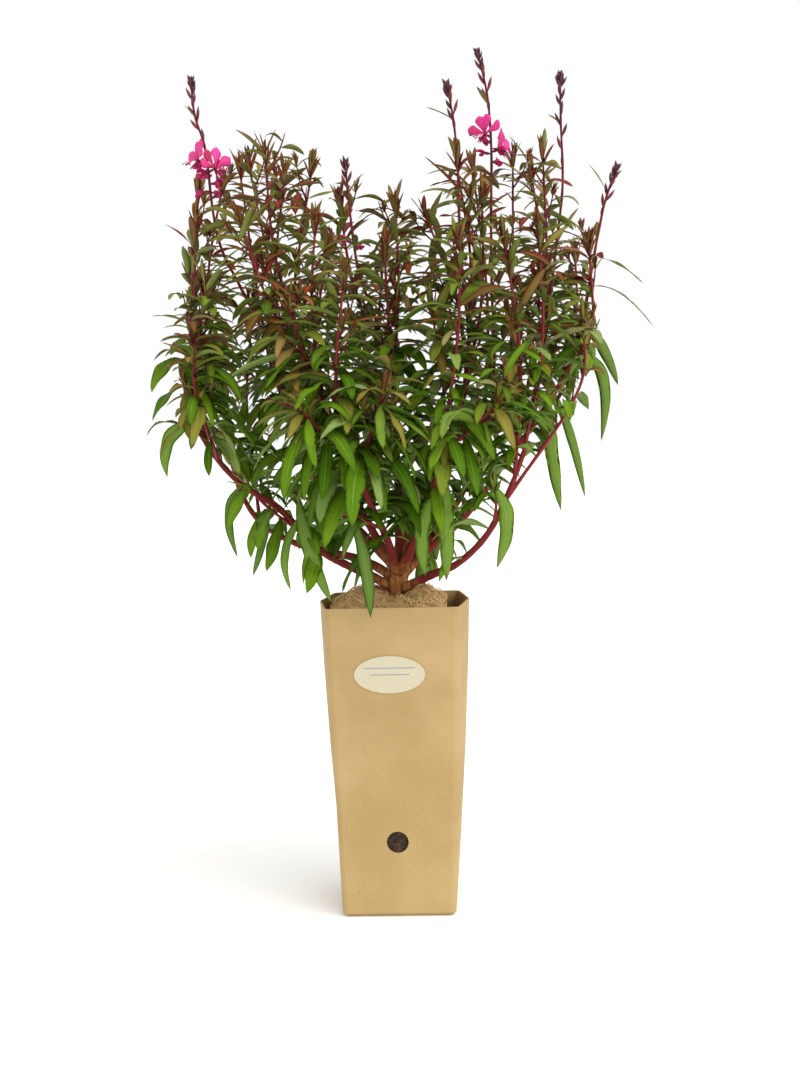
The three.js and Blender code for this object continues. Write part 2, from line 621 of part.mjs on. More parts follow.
// A bloom: slim tube, four petals fanned to the upper side, and hanging stamens.
function bloomSolid(name) {
  const [wand, place, facing, turn] = BLOOMS[name];
  const centre = stems[wand].curve.getPoint(place);
  const axis = vector(facing).normalize();
  const clear = mix(KINDS.wand.radius, place) + GAP + 0.7;
  const foot = along(centre, axis, clear);
  const throat = along(centre, axis, clear + 9);
  const pieces = [stemSolid(curveThrough([foot, throat]), [0.9, 1.7], 2)];
  const level = axis.clone().cross(new THREE.Vector3(0, 0, 1)).normalize();
  const rise = level.clone().cross(axis).normalize();
  for (let n = 0; n < 4; n += 1) {
    const angle = -1.15 + n * 0.76 + 0.1 * turn;
    const out = rise.clone().multiplyScalar(Math.cos(angle)).addScaledVector(level, Math.sin(angle));
    const side = level.clone().multiplyScalar(Math.cos(angle)).addScaledVector(rise, -Math.sin(angle));
    const first = along(out, axis, 0.35).normalize();
    const centres = [8.5, 15].map((d) => along(along(throat, axis, -1), first, d));
    const normal = first.clone().cross(side).normalize();
    const tip = along(along(throat, axis, -2), first, 20);
    pieces.push(solidOf(bladeGeometry(along(throat, axis, -2), centres, [side, side],
      [normal, normal], [3.6, 4.5], tip)));
  }
  for (let n = 0; n < 4; n += 1) {
    const spread = (n - 1.5) * 0.36;
    const direction = axis.clone().multiplyScalar(0.8).addScaledVector(rise, -0.75);
    direction.addScaledVector(level, spread).normalize();
    pieces.push(solidOf(spindleGeometry(along(throat, axis, -2), direction, 15, 0.7, 0.8)));
  }
  return joined(pieces);
}
for (const name of Object.keys(BLOOMS)) {
  addMesh(name, bloomSolid(name), COLOURS.petal, 0.6);
}

// The pot's outline at a height, drawn in by an inset: rounded corners and a crease on each side.
function potOutline(z, inset, lift = z) {
  const share = z / POT_HEIGHT;
  const half = POT_BOTTOM_HALF + (POT_TOP_HALF - POT_BOTTOM_HALF) * share - inset;
  const crease = half + POT_CREASE * (1 - (1 - share) ** 2.1);
  const radius = Math.max(POT_CORNER - inset, 1);
  const points = [];
  for (let corner = 0; corner < 4; corner += 1) {
    const sx = corner < 2 ? 1 : -1;
    const sy = corner === 1 || corner === 2 ? 1 : -1;
    for (const step of [0, 1, 2]) {
      const angle = (corner - 1 + step / 2) * Math.PI / 2;
      const x = sx * (half - radius) + Math.cos(angle) * radius;
      const y = sy * (half - radius) + Math.sin(angle) * radius;
      points.push(new THREE.Vector3(x, y, lift));
    }
    if (corner % 2 === 0) {
      points.push(new THREE.Vector3(sx * crease, 0, lift));
    }
  }
  return points;
}

function drainHole(radius, reach) {
  const geometry = new THREE.CylinderGeometry(radius, radius, reach, 16);
  geometry.translate(0, 0, DRAIN_HEIGHT);
  return solidOf(geometry);
}

const potLevels = [3, 70, 150, 225, POT_HEIGHT];
const potOuter = [potOutline(3, 3, 0), ...potLevels.map((z) => potOutline(z, 0))];
const potInner = [POT_FLOOR, 70, 150, 225, POT_HEIGHT].map((z) => potOutline(z, BOARD));
potInner.push(potOutline(POT_HEIGHT, BOARD, POT_HEIGHT + 5));
let pot = solidOf(ringGeometry(potOuter, null)).subtract(solidOf(ringGeometry(potInner, null)));
pot = pot.subtract(drainHole(DRAIN_RADIUS, 2 * POT_TOP_HALF + 20));
addMesh('board_pot', pot, COLOURS.board, 0.85);

// Paper label, leaning with the front wall.
const labelShape = new THREE.Shape();
labelShape.absellipse(0, 0, LABEL_WIDTH / 2, LABEL_HEIGHT / 2, 0, Math.PI * 2);
const labelGeometry = new THREE.ExtrudeGeometry(labelShape,
  { depth: LABEL_THICK, bevelEnabled: false, curveSegments: 12 });
const wallLean = Math.atan((POT_TOP_HALF - POT_BOTTOM_HALF) / POT_HEIGHT);
labelGeometry.rotateX(Math.PI / 2 + wallLean);
const frontAt = (z) => POT_BOTTOM_HALF + (POT_TOP_HALF - POT_BOTTOM_HALF) * z / POT_HEIGHT;
labelGeometry.translate(LABEL_CENTRE[0], -frontAt(LABEL_CENTRE[1]) - GAP, LABEL_CENTRE[1]);
addMesh('oval_label', solidOf(labelGeometry), COLOURS.label, 0.6);

// Compost fills the pot up to a little below its rim, with a plain hole for the crown.
const compostLevels = [POT_FLOOR + GAP, 70, 150, 225, COMPOST_TOP];
const compostRings = compostLevels.map((z) => potOutline(z, BOARD + 0.6));
const crownHole = stemSolid(curveThrough([[2, -1, 236 - GAP], [2, -1, 262], [2, -1, 300],
  [2, -1, 330]].map(vector)), [CROWN_HOLE, CROWN_HOLE], 3, 10);
addMesh('compost', solidOf(ringGeometry(compostRings, null)).subtract(crownHole),
  COLOURS.compost, 0.95);

// Coir mat: a low dome of rings, rough on top, cut straight on the right.
function matRing(share, z) {
  return Array.from({ length: 20 }, (_, n) => {
    const angle = n / 20 * Math.PI * 2;
    const c = Math.cos(angle);
    const s = Math.sin(angle);
    const reach = MAT_HALF * share / (Math.abs(c) ** 5 + Math.abs(s) ** 5) ** 0.2;
    const x = Math.min(MAT_SHIFT + c * reach, MAT_CUT);
    return new THREE.Vector3(x, s * reach, z);
  });
}
const matRandom = seeded(99);
const matRings = [matRing(0.99, MAT_BOTTOM), matRing(1, MAT_EDGE - 3)];
for (const share of [0.92, 0.65, 0.38]) {
  const ring = matRing(share, MAT_EDGE + MAT_DOME * (1 - share ** 2) * 0.8);
  matRings.push(ring.map((p) => along(p, new THREE.Vector3(0, 0, 1), 2.4 * matRandom())));
}
addMesh('coir_mat', solidOf(ringGeometry(matRings, null)).subtract(crownHole), COLOURS.coir, 0.95);

export default group;
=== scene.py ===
"""A bushy pink gaura in a tall folded board pot, dressed over its solid frame."""

import math
import random

import bpy
import numpy as np
from mathutils import Matrix, Vector


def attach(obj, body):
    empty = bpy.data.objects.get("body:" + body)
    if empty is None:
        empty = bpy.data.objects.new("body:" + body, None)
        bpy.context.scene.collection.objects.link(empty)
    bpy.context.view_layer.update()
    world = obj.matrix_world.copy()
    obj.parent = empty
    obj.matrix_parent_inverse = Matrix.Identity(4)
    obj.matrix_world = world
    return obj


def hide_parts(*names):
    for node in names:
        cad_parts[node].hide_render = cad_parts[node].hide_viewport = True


bl_info = {
    "name": "Potted Gaura",
    "version": (1, 0, 0),
    "blender": (4, 5, 0),
    "location": "View3D > Sidebar > Gaura",
    "description": "Builds a pink gaura in a folded board pot, piece by piece",
    "category": "Object",
}

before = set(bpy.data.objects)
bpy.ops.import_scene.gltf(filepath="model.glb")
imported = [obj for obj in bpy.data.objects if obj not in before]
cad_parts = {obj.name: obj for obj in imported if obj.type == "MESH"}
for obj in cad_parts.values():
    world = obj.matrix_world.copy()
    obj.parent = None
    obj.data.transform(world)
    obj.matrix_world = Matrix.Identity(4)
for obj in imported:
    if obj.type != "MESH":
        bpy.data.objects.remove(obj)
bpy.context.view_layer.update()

MM = 0.001
BODY = "root"

# Where the label, the compost and the mat lie, in millimetres.
LABEL_CENTRE = (-3.5, 223)
COMPOST_TOP = 267
MAT_EDGE = 277
MAT_DOME = 19
MAT_HALF = 53
MAT_SHIFT = -3.5
MAT_CUT = 48

# How leaves are set on the stems.
GOLDEN_ANGLE = 2.39996
KEEP_APART = 4.4
SAMPLE_STEP = 4.5
HASH_CELL = 12
STEM_STEPS = 6
WAND_STEPS = 10
ARM_RADIUS = (3.8, 2.1)
UP = (0.0, 0.0, 1.0)
FULL_TURN = 6.28

# Room that leaves keep: over the pot, in front of the crown and inside the bush's outline.
POT_CLEAR = (72, 64)
PLANNED_CLEAR_HEIGHT = 302
ADDED_CLEAR_HEIGHT = 292
CROWN_CLEAR_CENTRE = 12
CROWN_CLEAR_HALF = 30
CROWN_CLEAR_TOP = 338
RIGHT_MARGIN = 12
LEFT_MARGIN = 20

# Heights between which leaves turn from green to red-brown.
TURNING_FROM = 380
TURNING_SPAN = 290

# How many of each small thing there are, and how finely the felt and trunk are cut.
CRUMBS = 420
FELT_SPOKES = 120
FELT_RINGS = 26
TRUNK_STEPS = 36
TIP_BUDS = 16
PETALS = 4
SEPALS = 4
STAMENS = 8

# Each group of pieces draws from its own seed; shoots, wands and blooms count up from theirs.
SEEDS = {"crumbs": 11, "fibres": 23, "old_wood": 5, "low_leaves": 77,
         "shoots": 100, "wands": 300, "blooms": 500}

# A bud's width along it, as shares of its length and of its radius.
BUD_SHAPE = [(0.0, 0.22), (0.12, 0.34), (0.3, 0.8), (0.48, 1.0), (0.66, 0.88), (0.82, 0.5),
             (0.95, 0.16), (1.0, 0.04)]

# The camera's turn, pitch and roll in degrees and its sideways shift in metres.
CAMERA_ANGLES = (2.23, 4.98, 1.35)
CAMERA_SHIFT = 0.0065
CAMERA_SENSOR = 36
CAMERA_REACH = 60

# The floor's size and the sun's softness and direction.
FLOOR_RADIUS = 12
FLOOR_CORNERS = 64
FLOOR_DROP = 0.0005
SUN_SOFTNESS = 1.1
SUN_DIRECTION = (-0.75, 0.75, -1.0)

# Old wood, base to tip.
CROWN = [[3, -1, 262], [2, -1, 276], [1, -1, 290], [4, 0, 317]]
ARMS = {
    "left_low": [[2, 0, 292], [-20, -9, 306], [-43, -24, 319], [-66, -43, 336], [-99, -56, 374],
                 [-131, -53, 395], [-157, -48, 424], [-177, -41, 462], [-183, -32, 496]],
    "left_back": [[1, 5, 302], [-28, 23, 317], [-62, 42, 324], [-92, 56, 330], [-129, 69, 350],
                  [-151, 78, 383], [-158, 82, 421]],
    "left_front": [[1, -5, 310], [-15, -28, 345], [-31, -49, 383], [-40, -62, 428],
                   [-54, -60, 464], [-66, -53, 493]],
    "left_inner": [[2, 7, 311], [-31, 37, 342], [-69, 59, 382], [-90, 71, 425], [-103, 72, 464],
                   [-108, 68, 488]],
    "centre": [[5, 0, 312], [6, -8, 358], [6, -16, 421], [4, -14, 467], [2, -8, 498]],
    "right_inner": [[8, -2, 311], [17, -8, 333], [26, -17, 357], [39, -26, 396], [55, -32, 433],
                    [67, -31, 467], [74, -27, 492]],
    "right_main": [[8, 1, 305], [29, 7, 326], [57, 18, 348], [79, 27, 371], [105, 36, 406],
                   [135, 43, 443], [158, 44, 478], [173, 41, 509]],
    "right_low": [[9, -4, 294], [34, -21, 307], [59, -46, 320], [85, -71, 347], [104, -88, 384],
                  [118, -93, 420]],
    "right_back": [[7, 8, 310], [31, 41, 332], [58, 72, 364], [82, 95, 411], [95, 104, 454]],
    "front_left": [[3, -6, 309], [-2, -41, 338], [-14, -79, 374], [-29, -99, 412],
                   [-42, -108, 443]],
    "back": [[5, 8, 311], [8, 48, 341], [2, 82, 384], [-9, 102, 432], [-20, 107, 471]],
    "front_right": [[6, -6, 310], [20, -43, 338], [36, -83, 373], [46, -104, 413],
                    [52, -110, 446]],
}

# How each kind of stem is dressed, with values from base to tip.
KINDS = {
    "tall": {"leaves": 7, "from": 0.1, "length": (64, 28), "width": (0.2, 0.17),
             "lift": (0.3, 1.1), "sag": (1.6, 0.3), "radius": (1.9, 0.9)},
    "mid": {"leaves": 6, "from": 0.12, "length": (74, 36), "width": (0.2, 0.18),
            "lift": (0.2, 0.9), "sag": (1.9, 0.6), "radius": (1.8, 0.9)},
    "low": {"leaves": 6, "from": 0.15, "length": (88, 56), "width": (0.2, 0.19),
            "lift": (0.1, 0.5), "sag": (2.3, 1.4), "radius": (1.7, 1.0)},
    "spray": {"leaves": 4, "from": 0.2, "length": (72, 60), "width": (0.2, 0.2),
              "lift": (0.1, 0.3), "sag": (2.4, 2.0), "radius": (1.6, 1.1)},
    "wand": {"leaves": 3, "from": 0.12, "length": (46, 26), "width": (0.16, 0.14),
             "lift": (0.4, 1.0), "sag": (0.9, 0.2), "radius": (1.7, 0.9)},
}

LOW_LEAVES = {"length": (84, 66), "width": (0.19, 0.19), "lift": (0.3, 0.4), "sag": (2.2, 2.4)}

# Every leafy stem and wand: its branch, how far along, the points it passes and its kind.
STEMS = {
    "shoot_left_low_a": ("left_low", 1.0, [[-170, -52, 532], [-166, -41, 634]], "tall"),
    "shoot_left_low_b": ("left_low", 0.92, [[-163, -84, 505], [-153, -78, 572]], "mid"),
    "shoot_left_low_c": ("left_low", 0.78, [[-181, -2, 530], [-171, 18, 667]], "tall"),
    "shoot_left_low_d": ("left_low", 0.72, [[-162, -98, 475], [-163, -94, 524]], "mid"),
    "shoot_left_back_a": ("left_back", 1.0, [[-177, 85, 566], [-156, 72, 682]], "tall"),
    "shoot_left_back_b": ("left_back", 0.85, [[-185, 55, 523], [-187, 48, 593]], "mid"),
    "shoot_left_back_c": ("left_back", 0.68, [[-136, 123, 577]], "mid"),
    "shoot_left_front_a": ("left_front", 1.0, [[-101, -62, 687]], "tall"),
    "shoot_left_front_b": ("left_front", 0.92, [[-121, -100, 626]], "tall"),
    "shoot_left_front_c": ("left_front", 0.84, [[-56, -84, 624]], "tall"),
    "shoot_left_front_d": ("left_front", 0.72, [[-78, -125, 552]], "mid"),
    "shoot_left_inner_a": ("left_inner", 0.93, [[-102, 50, 530], [-128, 29, 697]], "tall"),
    "shoot_left_inner_b": ("left_inner", 0.85, [[-98, 84, 689]], "tall"),
    "shoot_left_inner_c": ("left_inner", 0.72, [[-122, 90, 520], [-143, 82, 698]], "tall"),
    "shoot_left_inner_d": ("left_inner", 0.62, [[-68, 47, 691]], "tall"),
    "shoot_left_inner_e": ("left_inner", 0.48, [[-61, 110, 618]], "tall"),
    "shoot_centre_a": ("centre", 0.93, [[-42, 2, 651]], "tall"),
    "shoot_centre_b": ("centre", 0.85, [[10, -14, 644]], "tall"),
    "shoot_centre_c": ("centre", 0.76, [[1, -66, 597]], "tall"),
    "shoot_right_inner_a": ("right_inner", 0.93, [[35, -5, 635]], "tall"),
    "shoot_right_inner_b": ("right_inner", 0.85, [[64, -60, 680]], "tall"),
    "shoot_right_inner_c": ("right_inner", 0.74, [[87, -57, 647]], "tall"),
    "shoot_right_inner_d": ("right_inner", 0.6, [[40, -90, 551]], "mid"),
    "shoot_right_main_a": ("right_main", 0.93, [[186, 11, 526], [182, -11, 605]], "mid"),
    "shoot_right_main_b": ("right_main", 0.87, [[177, 92, 606]], "tall"),
    "shoot_right_main_c": ("right_main", 0.7, [[135, 73, 684]], "tall"),
    "shoot_right_main_d": ("right_main", 0.6, [[143, 0, 692]], "tall"),
    "shoot_right_low_a": ("right_low", 1.0, [[134, -75, 613]], "tall"),
    "shoot_right_low_b": ("right_low", 0.88, [[103, -96, 606]], "tall"),
    "shoot_right_low_c": ("right_low", 0.76, [[165, -86, 470], [172, -81, 531]], "mid"),
    "shoot_right_back_a": ("right_back", 0.88, [[113, 80, 508], [119, 76, 700]], "tall"),
    "shoot_right_back_b": ("right_back", 0.8, [[80, 116, 697]], "tall"),
    "shoot_right_back_c": ("right_back", 0.72, [[151, 141, 600]], "mid"),
    "shoot_front_left_a": ("front_left", 1.0, [[-29, -126, 576]], "mid"),
    "shoot_front_left_b": ("front_left", 0.82, [[-70, -150, 466]], "low"),
    "shoot_front_left_c": ("front_left", 0.68, [[4, -146, 481]], "low"),
    "shoot_back_a": ("back", 1.0, [[-6, 124, 626]], "tall"),
    "shoot_back_b": ("back", 0.72, [[-52, 154, 587]], "mid"),
    "shoot_front_right_a": ("front_right", 1.0, [[67, -115, 603]], "mid"),
    "shoot_front_right_b": ("front_right", 0.8, [[104, -146, 472]], "low"),
    "spray_left_low": ("left_low", 0.42, [[-130, -72, 402]], "spray"),
    "spray_left": ("left_front", 0.3, [[-82, -68, 386]], "spray"),
    "spray_front_left": ("front_left", 0.36, [[-34, -94, 372]], "spray"),
    "spray_front_right": ("front_right", 0.42, [[50, -92, 408]], "spray"),
    "spray_right_low": ("right_low", 0.66, [[92, -100, 392]], "spray"),
    "wand_left": ("left_inner", 1.0, [[-122, 55, 535], [-139, 35, 576], [-152, 16, 608],
                                      [-157, 2, 642], [-160, -10, 694], [-168, -15, 725],
                                      [-170, -17, 755]], "wand"),
    "wand_centre": ("centre", 1.0, [[-10, -16, 539], [-23, -27, 578], [-28, -31, 613],
                                    [-31, -33, 648], [-33, -33, 676]], "wand"),
    "wand_inner": ("right_inner", 1.0, [[73, -19, 528], [69, -9, 573], [67, -1, 614],
                                        [66, 5, 681], [63, 6, 719], [58, 6, 748]], "wand"),
    "wand_tallest": ("right_back", 1.0, [[98, 82, 512], [96, 52, 567], [96, 26, 629],
                                         [97, 8, 690], [94, 0, 737], [86, -5, 774]], "wand"),
    "wand_right": ("right_main", 0.8, [[142, 36, 495], [150, 30, 564], [158, 26, 623],
                                       [162, 24, 663], [161, 24, 717], [161, 24, 756]], "wand"),
    "wand_far_right": ("right_main", 1.0, [[181, 31, 545], [188, 23, 585], [193, 20, 612],
                                           [200, 16, 643], [210, 14, 671]], "wand"),
}

# Large leaves: stem, place on it, bend point, tip and width.
LARGE_LEAVES = [
    ("spray_front_left", 0.95, [-15, -92, 336], [-18, -78, 277], 13),
    ("spray_front_left", 0.6, [-32, -104, 365], [-40, -98, 330], 9),
    ("spray_left", 0.95, [-78, -96, 338], [-52, -72, 290], 14),
    ("spray_left", 0.7, [-98, -94, 344], [-86, -90, 304], 8),
    ("spray_front_right", 0.95, [58, -112, 366], [49, -76, 308], 15),
    ("spray_front_right", 0.6, [30, -106, 364], [31, -76, 312], 14),
    ("spray_right_low", 0.95, [107, -106, 368], [93, -92, 320], 14),
    ("spray_right_low", 0.6, [86, -118, 397], [74, -132, 372], 10),
    ("spray_left_low", 0.9, [-143, -84, 384], [-133, -80, 332], 8),
    ("spray_left_low", 0.5, [-111, -86, 362], [-120, -82, 316], 8),
    ("shoot_left_low_d", 0.12, [-200, -52, 468], [-214, -54, 440], 10),
    ("shoot_left_low_d", 0.3, [-196, -76, 450], [-192, -82, 404], 13),
    ("wand_right", 0.05, [149, 14, 440], [155, 8, 361], 14),
    ("wand_right", 0.1, [170, 20, 452], [178, 18, 372], 9),
    ("shoot_right_main_a", 0.2, [200, 20, 500], [193, 14, 424], 12),
    ("wand_far_right", 0.12, [200, 34, 526], [211, 32, 475], 11),
    ("wand_far_right", 0.3, [211, 22, 572], [243, 19, 527], 6),
    ("wand_far_right", 0.45, [214, 34, 592], [236, 38, 568], 6),
]

# How far the leaves reach: height, left limit and right limit.
OUTLINE = [(284, -75, 50), (341, -148, 74), (400, -172, 112), (440, -205, 172),
           (480, -210, 198), (560, -205, 200), (600, -195, 205), (670, -188, 203),
           (704, -180, 158), (800, -180, 158)]

# How far added leaves reach to the front and the back.
DEPTH = (-184, 190)

# Blooms: wand, place on it, the way the flower faces and the turn of its petals.
BLOOMS = {
    "bloom_left_a": ("wand_left", 0.68, (-0.75, -0.6, 0.25), 0.3),
    "bloom_left_b": ("wand_left", 0.66, (0.72, -0.62, 0.3), 1.1),
    "bloom_right_a": ("wand_tallest", 0.7, (-0.55, -0.8, 0.25), 0.5),
    "bloom_right_b": ("wand_tallest", 0.66, (0.85, -0.45, 0.2), 0.9),
}

# Bud spikes: where on the wand the buds start and how many there are.
SPIKES = {
    "wand_left": (0.66, 12), "wand_centre": (0.72, 10), "wand_inner": (0.7, 12),
    "wand_tallest": (0.7, 12), "wand_right": (0.62, 14), "wand_far_right": (0.6, 12),
}

# Half-open flowers that cluster under the blooms, by their places on the wand.
HALF_OPEN = {
    "wand_left": (0.6, 0.62, 0.635, 0.65, 0.66, 0.67, 0.68),
    "wand_tallest": (0.635, 0.655, 0.67, 0.685),
    "wand_centre": (0.52, 0.56),
}

# How stout the crown of buds is that closes each wand.
WAND_CROWNS = {"wand_right": 1.5, "wand_far_right": 1.25, "wand_inner": 1.2}


def mix(pair, t):
    return pair[0] + (pair[1] - pair[0]) * t


def plus(a, b, k=1.0):
    return (a[0] + b[0] * k, a[1] + b[1] * k, a[2] + b[2] * k)


def dot(a, b):
    return a[0] * b[0] + a[1] * b[1] + a[2] * b[2]


def cross(a, b):
    return (a[1] * b[2] - a[2] * b[1], a[2] * b[0] - a[0] * b[2], a[0] * b[1] - a[1] * b[0])


def unit(a):
    size = math.sqrt(dot(a, a))
    return (a[0] / size, a[1] / size, a[2] / size)


def square_to(direction):
    """Two axes square to a direction."""
    helper = (1.0, 0.0, 0.0) if abs(direction[2]) > 0.9 else UP
    first = unit(cross(direction, helper))
    return first, unit(cross(direction, first))


def around(first, second, turn):
    """The direction at a turn from the first of two square axes towards the second."""
    return plus(plus((0.0, 0.0, 0.0), first, math.cos(turn)), second, math.sin(turn))


def seeded(seed):
    """The same draws between 0 and 1 each time."""
    state = seed
    while True:
        state = state * 16807 % 2147483647
        yield state / 2147483647


class Curve:
    """A smooth curve through points."""

    def __init__(self, points):
        self.points = [tuple(float(v) for v in p) for p in points]

    def at(self, t):
        points = self.points
        last = len(points) - 1
        where = last * t
        i = int(math.floor(where))
        weight = where - i
        if weight == 0 and i == last:
            i, weight = last - 1, 1.0
        p1, p2 = points[i], points[i + 1]
        p0 = points[i - 1] if i > 0 else plus(p1, plus(p1, p2, -1))
        p3 = points[i + 2] if i + 2 <= last else plus(p2, plus(p2, p1, -1))
        result = []
        for a, b, c, d in zip(p0, p1, p2, p3):
            s0, s1 = 0.5 * (c - a), 0.5 * (d - b)
            c2 = -3 * b + 3 * c - 2 * s0 - s1
            c3 = 2 * b - 2 * c + s0 + s1
            result.append(b + s0 * weight + c2 * weight ** 2 + c3 * weight ** 3)
        return tuple(result)

    def tangent(self, t):
        return unit(plus(self.at(min(t + 0.002, 1)), self.at(max(t - 0.002, 0)), -1))

    def length(self):
        marks = [self.at(i / 200) for i in range(201)]
        return sum(math.dist(a, b) for a, b in zip(marks, marks[1:]))


def bent(path, t):
    """A point on a leaf's midline."""
    a, b, c = path
    point = (a[0] * (1 - t) ** 2, a[1] * (1 - t) ** 2, a[2] * (1 - t) ** 2)
    return plus(plus(point, b, 2 * t * (1 - t)), c, t * t)


class Plant:
    """Where every stem and leaf goes: the same rule that shaped the solid plant."""

    def __init__(self):
        self.arms = {name: Curve(points) for name, points in ARMS.items()}
        self.stems = {}
        self.taken = {}
        for name, (arm, place, points, kind) in STEMS.items():
            foot = self.arms[arm].at(place)
            path = [tuple(p) for p in points]
            if len(path) == 1:
                middle = plus(foot, plus(path[0], foot, -1), 0.5)
                outward = unit((middle[0], middle[1], 0.0))
                path.insert(0, plus(middle, outward, 0.06 * math.dist(foot, path[0])))
            steps = WAND_STEPS if kind == "wand" else STEM_STEPS
            self.stems[name] = {"name": name, "kind": kind, "steps": steps,
                                "curve": Curve([foot] + path), "leaves": []}
        self.mark_stems()
        self.set_large_leaves()
        self.grow()

    def take(self, point, radius, owner):
        key = tuple(int(math.floor(v / HASH_CELL)) for v in point)
        self.taken.setdefault(key, []).append((point, radius, owner))

    def is_free(self, point, radius, owner):
        i, j, k = (int(math.floor(v / HASH_CELL)) for v in point)
        for x in (i - 1, i, i + 1):
            for y in (j - 1, j, j + 1):
                for z in (k - 1, k, k + 1):
                    for other, size, whose in self.taken.get((x, y, z), ()):
                        if whose != owner and math.dist(other, point) < size + radius:
                            return False
        return True

    def take_curve(self, curve, radii, owner):
        count = math.ceil(curve.length() / 4)
        for i in range(count + 1):
            self.take(curve.at(i / count), mix(radii, i / count) + 0.6, owner)

    def mark_stems(self):
        for curve in self.arms.values():
            self.take_curve(curve, ARM_RADIUS, "crown")
        for stem in self.stems.values():
            self.take_curve(stem["curve"], KINDS[stem["kind"]]["radius"], stem["name"])
        for name, (start, _) in SPIKES.items():
            for i in range(21):
                self.take(self.stems[name]["curve"].at(start + (1 - start) * i / 20), 8, name)

    def set_large_leaves(self):
        for name, place, bend, tip, width in LARGE_LEAVES:
            stem = self.stems[name]
            path = (self.stem_point(stem, place), tuple(bend), tuple(tip))
            run = unit(plus(path[2], path[0], -1))
            length = math.dist(path[0], path[1]) + math.dist(path[1], path[2])
            side = (1.0, 0.0, 0.0) if abs(run[2]) > 0.8 else square_to(run)[0]
            leaf = {"path": path, "length": length, "width": width, "side": side, "place": place}
            self.add_leaf(stem, leaf)

    def stem_point(self, stem, place):
        where = min(place, 0.9999) * stem["steps"]
        step = int(where)
        start = stem["curve"].at(step / stem["steps"])
        end = stem["curve"].at((step + 1) / stem["steps"])
        return plus(start, plus(end, start, -1), where - step)

    def samples(self, leaf):
        count = max(3, math.ceil(leaf["length"] / SAMPLE_STEP))
        rows = (-0.3, 0, 0.3) if leaf["width"] > 6 else (0,)
        for i in range(1, count + 1):
            centre = bent(leaf["path"], i / count)
            for row in rows:
                yield plus(centre, leaf["side"], row * leaf["width"])

    def fits(self, leaf, owner):
        if not in_outline(leaf["path"][2]):
            return False
        for p in self.samples(leaf):
            if over_pot(p, PLANNED_CLEAR_HEIGHT) or not self.is_free(p, KEEP_APART / 2, owner):
                return False
        return True

    def add_leaf(self, stem, leaf):
        stem["leaves"].append(leaf)
        for point in self.samples(leaf):
            self.take(point, KEEP_APART / 2, stem["name"])

    def grow_leaf(self, stem, n, draws):
        kind = KINDS[stem["kind"]]
        span = 0.94 - kind["from"]
        place = kind["from"] + span * (n + 0.3 + 0.4 * next(draws)) / kind["leaves"]
        size = 0.8 + 0.4 * next(draws)
        tilt = 0.7 + 0.6 * next(draws)
        roll = (next(draws) - 0.5) * 1.2
        root = self.stem_point(stem, place)
        forward = stem["curve"].tangent(place)
        east, north = square_to(forward)
        for attempt in range(8):
            turn = n * GOLDEN_ANGLE + attempt * 0.8 + stem["turn"]
            out = around(east, north, turn)
            first = unit(plus(out, forward, mix(kind["lift"], place)))
            length = mix(kind["length"], place) * size * (1 - 0.06 * attempt)
            width = length * mix(kind["width"], place)
            leaf = make_leaf(root, first, length, width, mix(kind["sag"], place) * tilt, roll)
            leaf["place"] = place
            if self.fits(leaf, stem["name"]):
                self.add_leaf(stem, leaf)
                return

    def grow_tuft(self, stem, draws):
        root = self.stem_point(stem, 0.97)
        forward = stem["curve"].tangent(0.97)
        east, north = square_to(forward)
        for n in range(2):
            turn = n * 3.1 + stem["turn"]
            out = around(east, north, turn)
            first = unit(plus(out, forward, 1.8 + next(draws)))
            length = 18 + 9 * next(draws)
            leaf = make_leaf(root, first, length, 4.2, 0.1, 0)
            leaf["place"] = 0.97
            if self.fits(leaf, stem["name"]):
                self.add_leaf(stem, leaf)

    def grow(self):
        draws = seeded(7351)
        for stem in self.stems.values():
            stem["turn"] = next(draws) * math.pi * 2
        for n in range(12):
            for stem in self.stems.values():
                if n < KINDS[stem["kind"]]["leaves"]:
                    self.grow_leaf(stem, n, draws)
        for stem in self.stems.values():
            if stem["kind"] in ("tall", "mid", "low"):
                self.grow_tuft(stem, draws)


def in_outline(point):
    """Whether a leaf's tip stays within the bush."""
    above = next((i for i, row in enumerate(OUTLINE) if row[0] > point[2]), len(OUTLINE) - 1)
    low, high = OUTLINE[max(above, 1) - 1], OUTLINE[max(above, 1)]
    share = (point[2] - low[0]) / (high[0] - low[0])
    return mix((low[1], high[1]), share) < point[0] < mix((low[2], high[2]), share)


def over_pot(point, limit):
    """Whether a point of a leaf hangs into the pot or in front of the crown."""
    x, y, z = point
    before_crown = z < CROWN_CLEAR_TOP and y < 0 and abs(x - CROWN_CLEAR_CENTRE) < CROWN_CLEAR_HALF
    return before_crown or (z < limit and abs(x) < POT_CLEAR[0] and abs(y) < POT_CLEAR[1])


def hangs_well(leaf):
    """Whether an added leaf keeps within the bush and off the pot and the crown."""
    _, bend, tip = leaf["path"]
    edge = RIGHT_MARGIN if tip[0] > 0 else -LEFT_MARGIN
    if not in_outline((tip[0] + edge, tip[1], tip[2])) or not DEPTH[0] < tip[1] < DEPTH[1]:
        return False
    marks = (bend, tip, plus(bend, plus(tip, bend, -1), 0.5))
    return not any(over_pot(mark, ADDED_CLEAR_HEIGHT) for mark in marks)


def make_leaf(root, first, length, width, sag, roll):
    """A leaf from its root, first direction, length, sag and roll."""
    second = unit(plus(first, (0.0, 0.0, -1.0), sag))
    bend = plus(root, first, length * 0.5)
    tip = plus(bend, second, length * 0.5)
    level = cross(first, UP)
    flat = unit(level) if math.sqrt(dot(level, level)) > 0.2 else square_to(first)[0]
    normal = unit(cross(flat, first))
    side = around(flat, normal, roll)
    return {"path": (root, bend, tip), "length": length, "width": width, "side": side}


